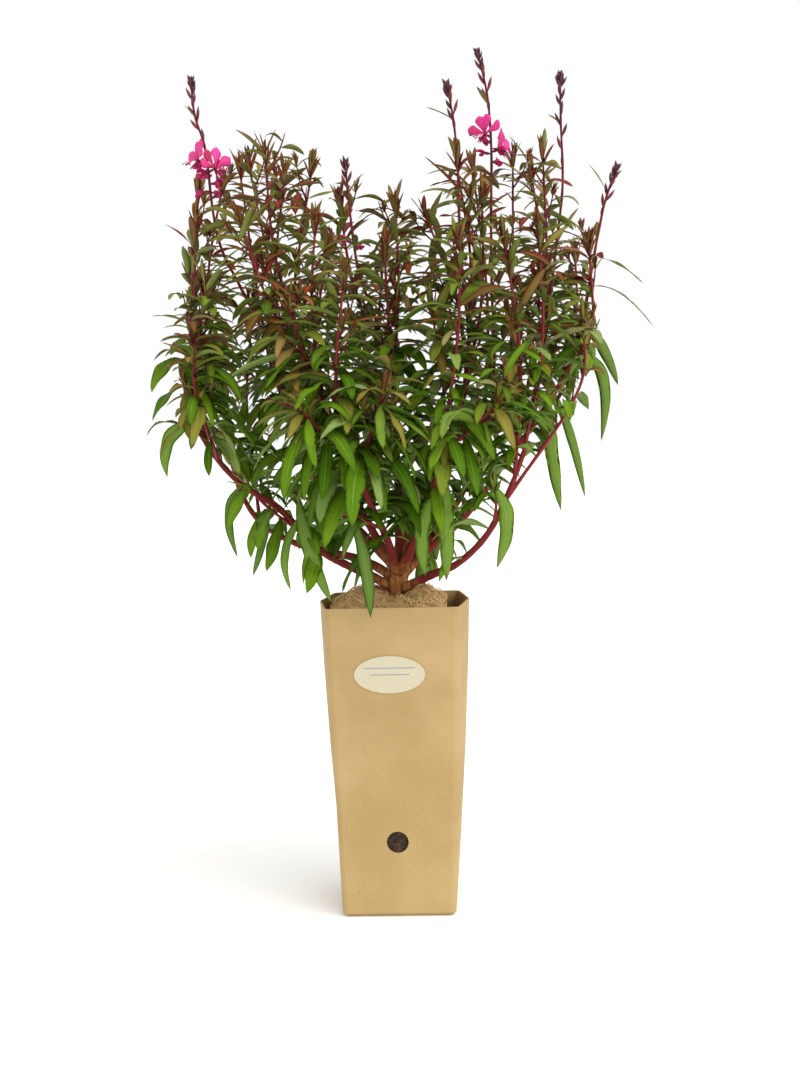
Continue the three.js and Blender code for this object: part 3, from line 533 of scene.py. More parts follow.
class Piece:
    """Gathers the vertices, faces and paint values of one piece."""

    def __init__(self, materials):
        self.materials = materials
        self.points = []
        self.paint = []
        self.under = []
        self.faces = []
        self.slots = []
        self.count = 0

    def add(self, points, faces, paint, slot, under=None):
        points = np.asarray(points, dtype=float)
        self.points.append(points * MM)
        self.paint.append(np.broadcast_to(np.asarray(paint, dtype=float), (len(points), 4)))
        self.under.append(np.zeros(len(points)) if under is None else under)
        self.faces.extend([tuple(i + self.count for i in face) for face in faces])
        self.slots.extend([slot] * len(faces))
        self.count += len(points)

    def build(self, name, replaced=()):
        mesh = bpy.data.meshes.new(name)
        mesh.from_pydata(np.concatenate(self.points).tolist(), [], self.faces)
        for material in self.materials:
            mesh.materials.append(material)
        mesh.polygons.foreach_set("material_index", self.slots)
        mesh.polygons.foreach_set("use_smooth", [True] * len(self.faces))
        paint = mesh.color_attributes.new("paint", "FLOAT_COLOR", "POINT")
        paint.data.foreach_set("color", np.concatenate(self.paint).ravel())
        under = mesh.attributes.new("under", "FLOAT", "POINT")
        under.data.foreach_set("value", np.concatenate(self.under))
        mesh.update()
        piece = bpy.data.objects.new(name, mesh)
        bpy.context.scene.collection.objects.link(piece)
        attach(piece, BODY)
        if replaced:
            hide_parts(*replaced)


def add_tube(piece, centres, radii, sides, paint, slot, skin=None):
    """A round tube through centres; skin swells it by place along and angle."""
    centres = np.asarray(centres, dtype=float)
    count = len(centres)
    forward = np.gradient(centres, axis=0)
    forward /= np.linalg.norm(forward, axis=1)[:, None] + 1e-12
    across = np.array(square_to(tuple(forward[0]))[0])
    angles = np.arange(sides) / sides * 2 * math.pi
    rings = []
    for i in range(count):
        across = across - forward[i] * across.dot(forward[i])
        across /= np.linalg.norm(across)
        up = np.cross(forward[i], across)
        ring = np.outer(np.cos(angles), across) + np.outer(np.sin(angles), up)
        swell = radii[i] * (skin(i / (count - 1), angles)[:, None] if skin else 1.0)
        rings.append(centres[i] + swell * ring)
    faces = []
    for i in range(count - 1):
        for j in range(sides):
            a, b = i * sides + j, i * sides + (j + 1) % sides
            faces.append((a, b, b + sides, a + sides))
    faces.append(tuple(range(sides - 1, -1, -1)))
    faces.append(tuple(range((count - 1) * sides, count * sides)))
    if np.ndim(paint) == 2:
        paint = np.repeat(np.asarray(paint, dtype=float), sides, axis=0)
    piece.add(np.concatenate(rings), faces, paint, slot)


BLADE_FACES = {}


def blade_faces(rows, columns):
    """Faces of a thin closed blade whose two sheets share their rim."""
    if (rows, columns) in BLADE_FACES:
        return BLADE_FACES[rows, columns]
    wide = columns + 1
    top = [[i * wide + j for j in range(wide)] for i in range(rows + 1)]
    low = [row[:] for row in top]
    following = (rows + 1) * wide
    for i in range(1, rows):
        for j in range(1, columns):
            low[i][j] = following
            following += 1
    faces = []
    for i in range(rows):
        for j in range(columns):
            faces.append((top[i][j], top[i][j + 1], top[i + 1][j + 1], top[i + 1][j]))
            faces.append((low[i + 1][j], low[i + 1][j + 1], low[i][j + 1], low[i][j]))
    BLADE_FACES[rows, columns] = faces
    return faces


def add_blade(piece, path, side, outline, fold, wave, thick, paint, slot, rows, columns):
    """A thin curved blade: outline gives half its width in millimetres at each place along."""
    t = np.linspace(0, 1, rows + 1)
    a, b, c = (np.asarray(p, dtype=float) for p in path)
    centre = np.outer((1 - t) ** 2, a) + np.outer(2 * t * (1 - t), b) + np.outer(t * t, c)
    forward = np.outer(1 - t, b - a) + np.outer(t, c - b)
    forward /= np.linalg.norm(forward, axis=1)[:, None] + 1e-12
    side = np.asarray(side, dtype=float) - forward * (forward @ np.asarray(side, dtype=float))[:, None]
    side /= np.linalg.norm(side, axis=1)[:, None] + 1e-12
    normal = np.cross(side, forward)
    phase, waves, height = wave
    v = np.linspace(-1, 1, columns + 1)
    turn = t[:, None] * waves * math.pi * 2 + phase
    reach = outline(t)[:, None] * (1 + 0.4 * height * np.sin(turn + np.where(v > 0, 2.0, 0.3)))
    ripple = np.sin(turn) * np.where(v > 0, 1.0, -0.8)
    lift = reach * (fold * np.abs(v) ** 1.2 + height * ripple * np.abs(v) ** 1.5)
    sheet = (centre[:, None, :] + side[:, None, :] * (v[None, :] * reach)[:, :, None]
             + normal[:, None, :] * lift[:, :, None])
    inner = sheet[1:-1, 1:-1] - normal[1:-1, None, :] * thick
    points = np.concatenate([sheet.reshape(-1, 3), inner.reshape(-1, 3)])
    colours = np.empty((rows + 1, columns + 1, 4))
    colours[..., 0] = t[:, None]
    colours[..., 1] = (v[None, :] + 1) / 2
    colours[..., 2:] = paint
    inner_colours = colours[1:-1, 1:-1]
    colours = np.concatenate([colours.reshape(-1, 4), inner_colours.reshape(-1, 4)])
    under = np.zeros(len(points))
    under[(rows + 1) * (columns + 1):] = 1
    piece.add(points, blade_faces(rows, columns), colours, slot, under)


def leaf_outline(width, widest):
    """Half a strap-like leaf's width along it, widest at a given place."""
    power = math.log(0.5) / math.log(widest)

    def outline(t):
        body = np.sin(np.pi * np.clip(t, 0, 1) ** power)
        return 0.45 * width * np.clip(body, 0, 1) ** 0.68 + 0.4 * (1 - t)
    return outline


def redness(z, share, draw):
    """How far a leaf has turned from green to red-brown, by its height and place on the stem."""
    high = min(max((z - TURNING_FROM) / TURNING_SPAN, 0), 1)
    turned = 0.55 if draw > 0.7 else 0.0
    return min(max(high * (0.24 + 0.4 * share + turned) + 0.25 * (draw - 0.4), 0), 1)


def add_leaf(piece, leaf, rng, share):
    """One real leaf over a planned one."""
    root, bend, tip = leaf["path"]
    length = leaf["length"]
    red = redness(bend[2], share, rng.random())
    wave = (rng.random() * FULL_TURN, length / 30, 0.06 + 0.2 * rng.random())
    path = (root, plus(bend, leaf["side"], 0.2 * length * (rng.random() - 0.5)), tip)
    rows, columns = (14, 4) if length > 58 else (10, 4) if length > 34 else (6, 2)
    add_blade(piece, path, leaf["side"], leaf_outline(leaf["width"], 0.48 + 0.14 * rng.random()),
              0.1 + 0.25 * rng.random(), wave, 0.3, (red, rng.random()), 1, rows, columns)


def add_tuft(piece, root, direction, size, rng):
    """A tight torch of young leaves that closes a shoot, the outer ones rooted lower."""
    east, north = square_to(direction)
    start = rng.random() * FULL_TURN
    count = 5 + int(size / 5)
    for n in range(count):
        share = n / count
        turn = n * GOLDEN_ANGLE + start
        out = around(east, north, turn)
        foot = plus(root, direction, -size * 0.7 * (1 - share))
        first = unit(plus(out, direction, 2.2 + 5 * share))
        length = size * (1.1 - 0.4 * share) * (0.8 + 0.4 * rng.random())
        leaf = make_leaf(foot, first, length, length * 0.15 + 0.8, 0.3 - 0.5 * share, 0)
        red = 0.68 + (root[2] - 500) / 180 + 0.4 * share + 0.3 * (rng.random() - 0.5)
        add_blade(piece, leaf["path"], leaf["side"], leaf_outline(leaf["width"], 0.5), 0.5,
                  (rng.random() * FULL_TURN, 0.8, 0.12), 0.3, (min(1.0, max(0.0, red)), rng.random()),
                  1, 6, 2)


def stem_paint(curve, places, share_red, rng):
    tone = rng.random()
    return [(place, 0.5, min(1, share_red + 0.25 * (curve.at(place)[2] - 450) / 300), tone)
            for place in places]


def add_stem(piece, stem, rng):
    curve = stem["curve"]
    radii = KINDS[stem["kind"]]["radius"]
    count = max(8, int(curve.length() / 7))
    places = [i / count for i in range(count + 1)]
    widths = [mix(radii, t) * (1 + 0.10 * math.sin(t * count * 1.3)) for t in places]
    widths[-1] = 0.4
    paint = stem_paint(curve, places, 0.55, rng)
    add_tube(piece, [curve.at(t) for t in places], widths, 8, paint, 0)


def add_planned_leaves(piece, stem, rng):
    """The leaves that the solid plant has too, rooted on the rounder stem."""
    for leaf in stem["leaves"]:
        root = stem["curve"].at(leaf["place"])
        add_leaf(piece, dict(leaf, path=(root,) + leaf["path"][1:]), rng, leaf["place"])


def add_twig(piece, stem, place, rng, long):
    """A short side shoot with small leaves and a tip tuft."""
    root = stem["curve"].at(place)
    forward = stem["curve"].tangent(place)
    east, north = square_to(forward)
    turn = rng.random() * FULL_TURN
    length = long * (0.7 + 0.6 * rng.random())
    for _ in range(6):
        out = around(east, north, turn)
        first = unit(plus(out, forward, 0.9 + 0.6 * rng.random()))
        second = unit(plus(plus(first, forward, 0.8), UP, 0.6))
        middle = plus(root, first, length * 0.5)
        path = (root, middle, plus(middle, second, length * 0.5))
        end = plus(path[2], out, 12)
        if in_outline(end) and DEPTH[0] < end[1] < DEPTH[1]:
            break
        turn += 1.1
        length *= 0.85
    marks = [bent(path, i / 6) for i in range(7)]
    add_tube(piece, marks, [0.95, 0.9, 0.8, 0.75, 0.7, 0.6, 0.4], 5, (0.5, 0.5, 0.75, 0.5), 0)
    count = max(3, int(length / 7))
    for n in range(count):
        t = 0.2 + 0.75 * n / count
        at = bent(path, t)
        run = unit(plus(bent(path, t + 0.05), bent(path, t - 0.05), -1))
        e, m = square_to(run)
        angle = n * GOLDEN_ANGLE + turn
        away = around(e, m, angle)
        size = (46 - 14 * t) * (0.7 + 0.6 * rng.random())
        leaf = make_leaf(at, unit(plus(away, run, 0.3 + 0.7 * t)), size, size * 0.18 + 0.8,
                         1.6 * rng.random() + 0.3, (rng.random() - 0.5))
        if hangs_well(leaf):
            add_leaf(piece, leaf, rng, 0.25 + 0.6 * t)
    if rng.random() < 0.6:
        add_tuft(piece, marks[-1], unit(plus(marks[-1], marks[-2], -1)), 11, rng)


def add_extra_leaves(piece, curve, kind, rng, count, start=0.06, end=0.96):
    """Leaves between the planned ones, turned until they stay within the bush."""
    for n in range(count):
        place = start + (end - start) * (n + rng.random()) / count
        root = curve.at(place)
        forward = curve.tangent(place)
        east, north = square_to(forward)
        turn = rng.random() * FULL_TURN
        length = (mix(kind["length"], place) + 8 * place) * (0.65 + 0.6 * rng.random())
        sag = mix(kind["sag"], place) * (0.3 + 1.1 * rng.random()) + 0.3
        lift = mix(kind["lift"], place) * (0.2 + 1.3 * rng.random())
        for _ in range(4):
            out = around(east, north, turn)
            first = unit(plus(out, forward, lift))
            leaf = make_leaf(root, first, length, length * mix(kind["width"], place), sag,
                             (rng.random() - 0.5) * 1.2)
            if hangs_well(leaf):
                add_leaf(piece, leaf, rng, place)
                break
            turn += 1.4
            length *= 0.95


def add_bud(piece, root, direction, length, radius, paint, slot, sides=7):
    """A pointed bud on a short neck."""
    centres = [plus(root, direction, length * t) for t, _ in BUD_SHAPE]
    add_tube(piece, centres, [radius * r for _, r in BUD_SHAPE], sides,
             [(t, 0.5) + paint for t, _ in BUD_SHAPE], slot)


class Shader:
    """A small helper that adds and links the nodes of one material."""

    def __init__(self, name, roughness=0.6):
        self.material = bpy.data.materials.new(name)
        self.material.use_nodes = True
        self.tree = self.material.node_tree
        self.surface = self.tree.nodes["Principled BSDF"]
        self.surface.inputs["Roughness"].default_value = roughness

    def node(self, kind, inputs=None, **settings):
        made = self.tree.nodes.new(kind)
        for key, value in settings.items():
            setattr(made, key, value)
        for key, value in (inputs or {}).items():
            self.feed(made.inputs[key], value)
        return made

    def feed(self, socket, value):
        if isinstance(value, bpy.types.NodeSocket):
            self.tree.links.new(value, socket)
        else:
            socket.default_value = value

    def blend(self, share, a, b):
        made = self.node("ShaderNodeMix", data_type="RGBA")
        self.feed(made.inputs[0], share)
        self.feed(made.inputs[6], opaque(a))
        self.feed(made.inputs[7], opaque(b))
        return made.outputs[2]

    def maths(self, operation, a, b=0.0, clamp=False):
        made = self.node("ShaderNodeMath", {0: a, 1: b}, operation=operation, use_clamp=clamp)
        return made.outputs[0]

    def ramp(self, value, low, high, a=0.0, b=1.0):
        made = self.node("ShaderNodeMapRange",
                         {"Value": value, "From Min": low, "From Max": high, "To Min": a,
                          "To Max": b}, interpolation_type="SMOOTHSTEP")
        return made.outputs[0]

    def noise(self, scale, detail=3.0, roughness=0.5, vector=None, distortion=0.0):
        made = self.node("ShaderNodeTexNoise", {"Scale": scale, "Detail": detail,
                                                "Roughness": roughness,
                                                "Distortion": distortion})
        self.feed(made.inputs["Vector"], vector or self.place())
        return made.outputs[0]

    def place(self, scale=None):
        coordinates = self.node("ShaderNodeTexCoord").outputs["Object"]
        if scale is None:
            return coordinates
        return self.node("ShaderNodeMapping", {"Vector": coordinates, "Scale": scale}).outputs[0]

    def paint(self):
        """Along, across, redness and tone, painted on the piece's points."""
        made = self.node("ShaderNodeAttribute", attribute_name="paint")
        parts = self.node("ShaderNodeSeparateColor", {0: made.outputs["Color"]})
        return parts.outputs[0], parts.outputs[1], parts.outputs[2], made.outputs["Alpha"]

    def bump(self, height, strength, distance):
        made = self.node("ShaderNodeBump", {"Height": height, "Strength": strength,
                                            "Distance": distance})
        self.feed(self.surface.inputs["Normal"], made.outputs[0])

    def colour(self, value):
        self.feed(self.surface.inputs["Base Color"], value)


def linear(rgb):
    """A screen colour, 0 to 255, as the linear one that shaders take."""
    values = [v / 255 for v in rgb]
    return tuple(v / 12.92 if v <= 0.04045 else ((v + 0.055) / 1.055) ** 2.4
                 for v in values) + (1.0,)


def opaque(colour):
    """A colour with full cover; a node's socket passes unchanged."""
    if isinstance(colour, bpy.types.NodeSocket) or len(colour) == 4:
        return colour
    return tuple(colour) + (1.0,)


def leaf_material(settings):
    shader = Shader("gaura_leaf", 0.5)
    along, across, red, tone = shader.paint()
    patches = shader.noise(55.0, 2.0)
    green = shader.blend(shader.ramp(tone, 0.0, 0.75), settings.leaf_deep, settings.leaf_light)
    green = shader.blend(shader.ramp(patches, 0.35, 0.7, 0.0, 0.4), green, settings.leaf_deep)
    olive = shader.blend(shader.ramp(red, 0.1, 0.45), green, settings.leaf_olive)
    edge = shader.maths("ABSOLUTE", shader.maths("SUBTRACT", across, 0.5))
    blush = shader.maths("ADD", red, shader.maths("MULTIPLY", edge, 0.3))
    reddened = shader.blend(tone, settings.leaf_red, settings.leaf_rust)
    body = shader.blend(shader.ramp(blush, 0.4, 0.95), olive, reddened)
    # Leaves of the highest tone get a painted sheen: a pale grey-green base colour that stands in for
    # light glancing off their lit tops.
    body = shader.blend(shader.ramp(tone, 0.8, 1.0, 0.0, 0.5), body, settings.leaf_painted_sheen)
    rib = shader.ramp(edge, 0.015, 0.05, 1.0, 0.0)
    fade = shader.maths("MULTIPLY", rib, shader.ramp(along, 0.6, 1.0, 0.4, 0.05))
    body = shader.blend(fade, body, settings.leaf_rib)
    under = shader.node("ShaderNodeAttribute", attribute_name="under").outputs["Fac"]
    body = shader.blend(shader.maths("MULTIPLY", under, 0.35), body, settings.leaf_under)
    shader.colour(body)
    slant = shader.maths("ADD", shader.maths("MULTIPLY", along, 60.0),
                         shader.maths("MULTIPLY", edge, -34.0))
    veins = shader.maths("SINE", shader.maths("MULTIPLY", slant, 2.2))
    height = shader.maths("SUBTRACT", shader.maths("MULTIPLY", veins, 0.25), rib)
    shader.bump(height, 0.5, 0.0006)
    shader.surface.inputs["Specular IOR Level"].default_value = 0.08
    return shader.material


def stem_material(settings):
    shader = Shader("gaura_stem", 0.42)
    _, _, red, tone = shader.paint()
    streaks = shader.noise(40.0, 3.0, 0.6, shader.place((3.0, 3.0, 0.6)))
    base = shader.blend(tone, settings.stem_green, settings.stem_red)
    body = shader.blend(shader.ramp(red, 0.1, 0.6), base, settings.stem_red)
    body = shader.blend(shader.ramp(streaks, 0.5, 0.8, 0.0, 0.35), body, settings.stem_green)
    body = shader.blend(shader.ramp(red, 0.6, 0.78, 0.0, 0.8), body, settings.stem_dark)
    shader.colour(body)
    shader.bump(shader.noise(700.0, 2.0), 0.25, 0.0004)
    shader.surface.inputs["Specular IOR Level"].default_value = 0.2
    return shader.material


def bud_material(settings):
    shader = Shader("gaura_bud", 0.5)
    along, _, pink, tone = shader.paint()
    dark = shader.blend(tone, settings.bud_dark, settings.bud_red)
    body = shader.blend(shader.ramp(pink, 0.3, 1.0), dark, settings.petal)
    body = shader.blend(shader.ramp(along, 0.0, 0.35, 0.6, 0.0), body, settings.stem_red)
    shader.colour(body)
    shader.bump(shader.noise(900.0, 2.0), 0.3, 0.0004)
    return shader.material


def petal_material(settings):
    shader = Shader("gaura_petal", 0.55)
    along, across, _, tone = shader.paint()
    lines = shader.maths("SINE", shader.maths("MULTIPLY", across, 46.0))
    body = shader.blend(tone, settings.petal, settings.petal_deep)
    body = shader.blend(shader.ramp(lines, 0.3, 1.0, 0.0, 0.3), body, settings.petal_deep)
    body = shader.blend(shader.ramp(along, 0.0, 0.5, 0.85, 0.0), body, settings.petal_deep)
    shader.colour(body)
    shader.bump(lines, 0.25, 0.0003)
    shader.surface.inputs["Subsurface Weight"].default_value = 0.2
    shader.surface.inputs["Subsurface Radius"].default_value = (1.0, 0.3, 0.5)
    shader.surface.inputs["Subsurface Scale"].default_value = 0.002
    return shader.material


def bark_material(settings):
    shader = Shader("gaura_bark", 0.8)
    _, _, red, _ = shader.paint()
    fibres = shader.noise(60.0, 5.0, 0.65, shader.place((4.0, 4.0, 0.7)), 0.6)
    flakes = shader.noise(160.0, 4.0, 0.6)
    wood = shader.blend(shader.ramp(fibres, 0.35, 0.65), settings.bark_dark, settings.bark_light)
    wood = shader.blend(shader.ramp(flakes, 0.5, 0.75, 0.0, 0.6), wood, settings.bark_dark)
    skin = shader.blend(shader.ramp(fibres, 0.3, 0.7), settings.stem_red, settings.branch)
    shader.colour(shader.blend(shader.ramp(red, 0.2, 0.6), wood, skin))
    shader.bump(fibres, 0.7, 0.0015)
    shader.surface.inputs["Specular IOR Level"].default_value = 0.15
    return shader.material


def board_material(settings):
    shader = Shader("kraft_board", 0.82)
    cloud = shader.noise(14.0, 3.0)
    fibre = shader.noise(420.0, 4.0, 0.7, shader.place((1.0, 1.0, 0.25)))
    body = shader.blend(shader.ramp(cloud, 0.3, 0.7), settings.board, settings.board_light)
    body = shader.blend(shader.ramp(fibre, 0.55, 0.8, 0.0, 0.28), body, settings.board_dark)
    specks = shader.node("ShaderNodeTexVoronoi", {"Vector": shader.place(), "Scale": 95.0})
    speck = shader.maths("MULTIPLY", shader.ramp(specks.outputs["Distance"], 0.05, 0.11, 1.0, 0.0),
                         shader.ramp(shader.noise(30.0, 1.0), 0.55, 0.7))
    body = shader.blend(shader.maths("MULTIPLY", speck, 0.55), body, settings.board_dark)
    shader.colour(body)
    shader.bump(fibre, 0.25, 0.0004)
    return shader.material


def label_material(settings):
    shader = Shader("label_paper", 0.5)
    place = shader.node("ShaderNodeSeparateXYZ", {0: shader.place()})
    x, z = place.outputs[0], place.outputs[2]
    fibre = shader.noise(500.0, 2.0)
    paper = shader.blend(shader.ramp(fibre, 0.3, 0.7, 0.0, 0.25), settings.label,
                         settings.board_light)
    ink = None
    for height, half in ((6.0, 0.0225), (0.0, 0.0175)):
        centre = (LABEL_CENTRE[1] + height) * MM
        offset = shader.maths("ABSOLUTE", shader.maths("SUBTRACT", z, centre))
        across = shader.maths("ABSOLUTE", shader.maths("SUBTRACT", x, LABEL_CENTRE[0] * MM))
        line = shader.maths("MULTIPLY", shader.ramp(offset, 0.0004, 0.0007, 1.0, 0.0),
                            shader.ramp(across, half, half + 0.0008, 1.0, 0.0))
        ink = line if ink is None else shader.maths("ADD", ink, line)
    shader.colour(shader.blend(shader.maths("MULTIPLY", ink, 0.7), paper, settings.ink))
    shader.bump(fibre, 0.1, 0.0002)
    return shader.material


def compost_material(settings):
    shader = Shader("compost", 0.95)
    crumbs = shader.noise(260.0, 6.0, 0.7)
    body = shader.blend(shader.ramp(crumbs, 0.4, 0.7), settings.compost, settings.compost_light)
    shader.colour(body)
    shader.bump(crumbs, 0.9, 0.002)
    return shader.material


def coir_material(settings):
    shader = Shader("coir", 0.9)
    tangle = shader.noise(180.0, 5.0, 0.7, None, 1.5)
    body = shader.blend(shader.ramp(tangle, 0.35, 0.65), settings.coir_dark, settings.coir)
    shader.colour(body)
    shader.bump(tangle, 0.8, 0.002)
    return shader.material


def fibre_material(settings):
    shader = Shader("coir_fibre", 0.65)
    _, _, _, tone = shader.paint()
    body = shader.blend(tone, settings.coir, settings.coir_pale)
    shader.colour(shader.blend(shader.ramp(shader.noise(300.0), 0.4, 0.7, 0.0, 0.4), body,
                               settings.coir_dark))
    return shader.material


def colour_property(name, description, rgb):
    return bpy.props.FloatVectorProperty(name=name, description=description, subtype="COLOR",
                                         size=3, min=0.0, max=1.0, default=linear(rgb)[:3])


class GauraPlantSettings(bpy.types.PropertyGroup):
    """Sizes and colours of the plant."""

    leaf_deep: colour_property("Deep leaf", "Shaded green of a low leaf", (66, 102, 6))
    leaf_light: colour_property("Light leaf", "Fresh green of a low leaf", (106, 142, 22))
    # Painted sheen: a pale grey-green that stands in for light glancing off lit leaf tops, not a bloom
    # on the leaf.
    leaf_painted_sheen: colour_property("Pale leaf", "Grey-green bloom on some leaves", (156, 168, 116))
    leaf_olive: colour_property("Olive leaf", "Green of a leaf that has begun to turn",
                                (128, 122, 48))
    leaf_red: colour_property("Red leaf", "Maroon of a leaf near a tip", (102, 24, 30))
    leaf_rust: colour_property("Rust leaf", "Orange-brown of a leaf near a tip", (144, 56, 24))
    leaf_rib: colour_property("Midrib", "Pale green of the midrib", (150, 172, 84))
    leaf_under: colour_property("Underside", "Grey-green of a leaf's underside", (126, 148, 84))
    stem_red: colour_property("Red stem", "Crimson of the stems", (130, 36, 44))
    stem_dark: colour_property("Dark stem", "Maroon of the wands", (76, 22, 30))
    stem_green: colour_property("Green stem", "Green of young stems", (116, 98, 40))
    bud_dark: colour_property("Dark bud", "Dark purple of closed buds", (58, 20, 26))
    bud_red: colour_property("Red bud", "Crimson of swelling buds", (140, 20, 58))
    petal: colour_property("Petal", "Pink of the petals", (236, 44, 150))
    petal_deep: colour_property("Petal vein", "Deep pink of veins and throat", (176, 0, 80))
    bark_light: colour_property("Light bark", "Orange-brown of flaking bark", (196, 132, 76))
    bark_dark: colour_property("Dark bark", "Brown of old bark", (104, 60, 32))
    branch: colour_property("Branch", "Brown of the lower branches", (112, 50, 34))
    extra_leaves: bpy.props.IntProperty(name="Extra leaves", min=0, max=60, default=24,
                                        description="Leaves added to each shoot")
    low_leaves: bpy.props.IntProperty(name="Low leaves", min=0, max=80, default=42,
                                      description="Leaves on each 200 mm of lower branch")
    twigs: bpy.props.IntProperty(name="Side twigs", min=0, max=20, default=6,
                                 description="Short side shoots added to each shoot")


class GauraPotSettings(bpy.types.PropertyGroup):
    """Colours of the pot and what fills it."""

    board: colour_property("Board", "Brown of the kraft board", (166, 137, 87))
    board_light: colour_property("Light board", "Lighter cloud in the board", (180, 152, 103))
    board_dark: colour_property("Board fibre", "Dark fibre in the board", (126, 96, 54))
    label: colour_property("Label", "Cream of the label", (194, 188, 162))
    ink: colour_property("Ruled line", "Grey-blue of the ruled lines", (112, 128, 140))
    compost: colour_property("Compost", "Dark brown of the compost", (30, 20, 13))
    compost_light: colour_property("Compost crumb", "Brown of dry crumbs", (84, 58, 38))
    coir: colour_property("Coir", "Brown of the coir mat", (222, 178, 112))
    coir_dark: colour_property("Coir shade", "Dark brown between the fibres", (152, 110, 62))
    coir_pale: colour_property("Coir fibre", "Straw colour of loose fibres", (246, 214, 156))
    fibres: bpy.props.IntProperty(name="Fibres", min=0, max=4000, default=2400,
                                  description="Loose coir fibres on the mat")


class GauraStageSettings(bpy.types.PropertyGroup):
    """Camera, floor and light."""

    distance: bpy.props.FloatProperty(name="Distance", default=1.5, min=0.3, unit="LENGTH",
                                      description="Level distance from the pot to the camera")
    height: bpy.props.FloatProperty(name="Height", default=0.4746, min=0.0, unit="LENGTH",
                                    description="Height of the camera")
    lens: bpy.props.FloatProperty(name="Lens", default=55.2, min=10.0,
                                  description="Focal length in millimetres")
    light: bpy.props.FloatProperty(name="Light", default=1.0, min=0.0,
                                   description="Strength of the surrounding light")
    sun: bpy.props.FloatProperty(name="Sun", default=2.2, min=0.0,
                                 description="Strength of the soft key light")
    floor: colour_property("Floor", "Pale floor", (248, 248, 246))


_plant = {}


def plant():
    if "made" not in _plant:
        _plant["made"] = Plant()
    return _plant["made"]


_materials = {}


def finish_of(kind, settings):
    if kind not in _materials:
        makers = {"leaf": leaf_material, "stem": stem_material, "bud": bud_material,
                  "petal": petal_material, "bark": bark_material, "board": board_material,
                  "label": label_material, "compost": compost_material, "coir": coir_material,
                  "fibre": fibre_material}
        _materials[kind] = makers[kind](settings)
    return _materials[kind]


def dress_node(name, material):
    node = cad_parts[name]
    node.data.materials.clear()
    node.data.materials.append(material)


class GAURA_OT_pot(bpy.types.Operator):
    """Finish the board pot and its label"""

    bl_idname = "gaura.pot"
    bl_label = "Board pot"

    def execute(self, context):
        settings = context.scene.gaura_pot
        dress_node("board_pot", finish_of("board", settings))
        dress_node("oval_label", finish_of("label", settings))
        return {"FINISHED"}


class GAURA_OT_compost(bpy.types.Operator):
    """Finish the compost and lay crumbs on it"""

    bl_idname = "gaura.compost"
    bl_label = "Compost"

    def execute(self, context):
        settings = context.scene.gaura_pot
        material = finish_of("compost", settings)
        dress_node("compost", material)
        rng = random.Random(SEEDS["crumbs"])
        crumbs = Piece([material])
        for _ in range(CRUMBS):
            angle = rng.random() * FULL_TURN
            x = rng.uniform(-58, 58)
            y = rng.uniform(-56, 56)
            if abs(x - MAT_SHIFT) < MAT_HALF - 3 and abs(y) < MAT_HALF - 3 and x < MAT_CUT - 2:
                continue
            size = rng.uniform(0.8, 2.6)
            centre = (x, y, COMPOST_TOP + size * 0.3)
            direction = (math.cos(angle), math.sin(angle), rng.uniform(-0.4, 0.4))
            ends = [plus(centre, unit(direction), size * k) for k in (-0.9, -0.5, 0, 0.5, 0.9)]
            add_tube(crumbs, ends, [size * k for k in (0.3, 0.75, 0.95, 0.7, 0.25)], 6,
                     (0.5, 0.5, 0.5, rng.random()), 0)
        crumbs.build("compost_crumbs")
        return {"FINISHED"}


def hump(x, y, place, size):
    """A round swelling of the mat, between 0 and 1."""
    return math.exp(-((x - place[0]) ** 2 + (y - place[1]) ** 2) / size)


def mat_height(x, y):
    """The top of the coir mat, with a hump on each side of the crown and a dip around it."""
    share = min(max(abs(x - MAT_SHIFT), abs(y)) / MAT_HALF, 1.0)
    rough = (math.sin(x * 0.31 + 1.3 * math.sin(y * 0.2)) + math.sin(y * 0.37 + x * 0.11)
             + 0.6 * math.sin(x * 0.9 + y * 0.7))
    swell = 9 * hump(x, y, (34, -8), 380) + 5 * hump(x, y, (-38, -6), 420)
    dip = 8 * hump(x, y, (2, -12), 260)
    return MAT_EDGE + MAT_DOME * (1 - share ** 2) * 0.8 + 0.7 * rough + swell - dip


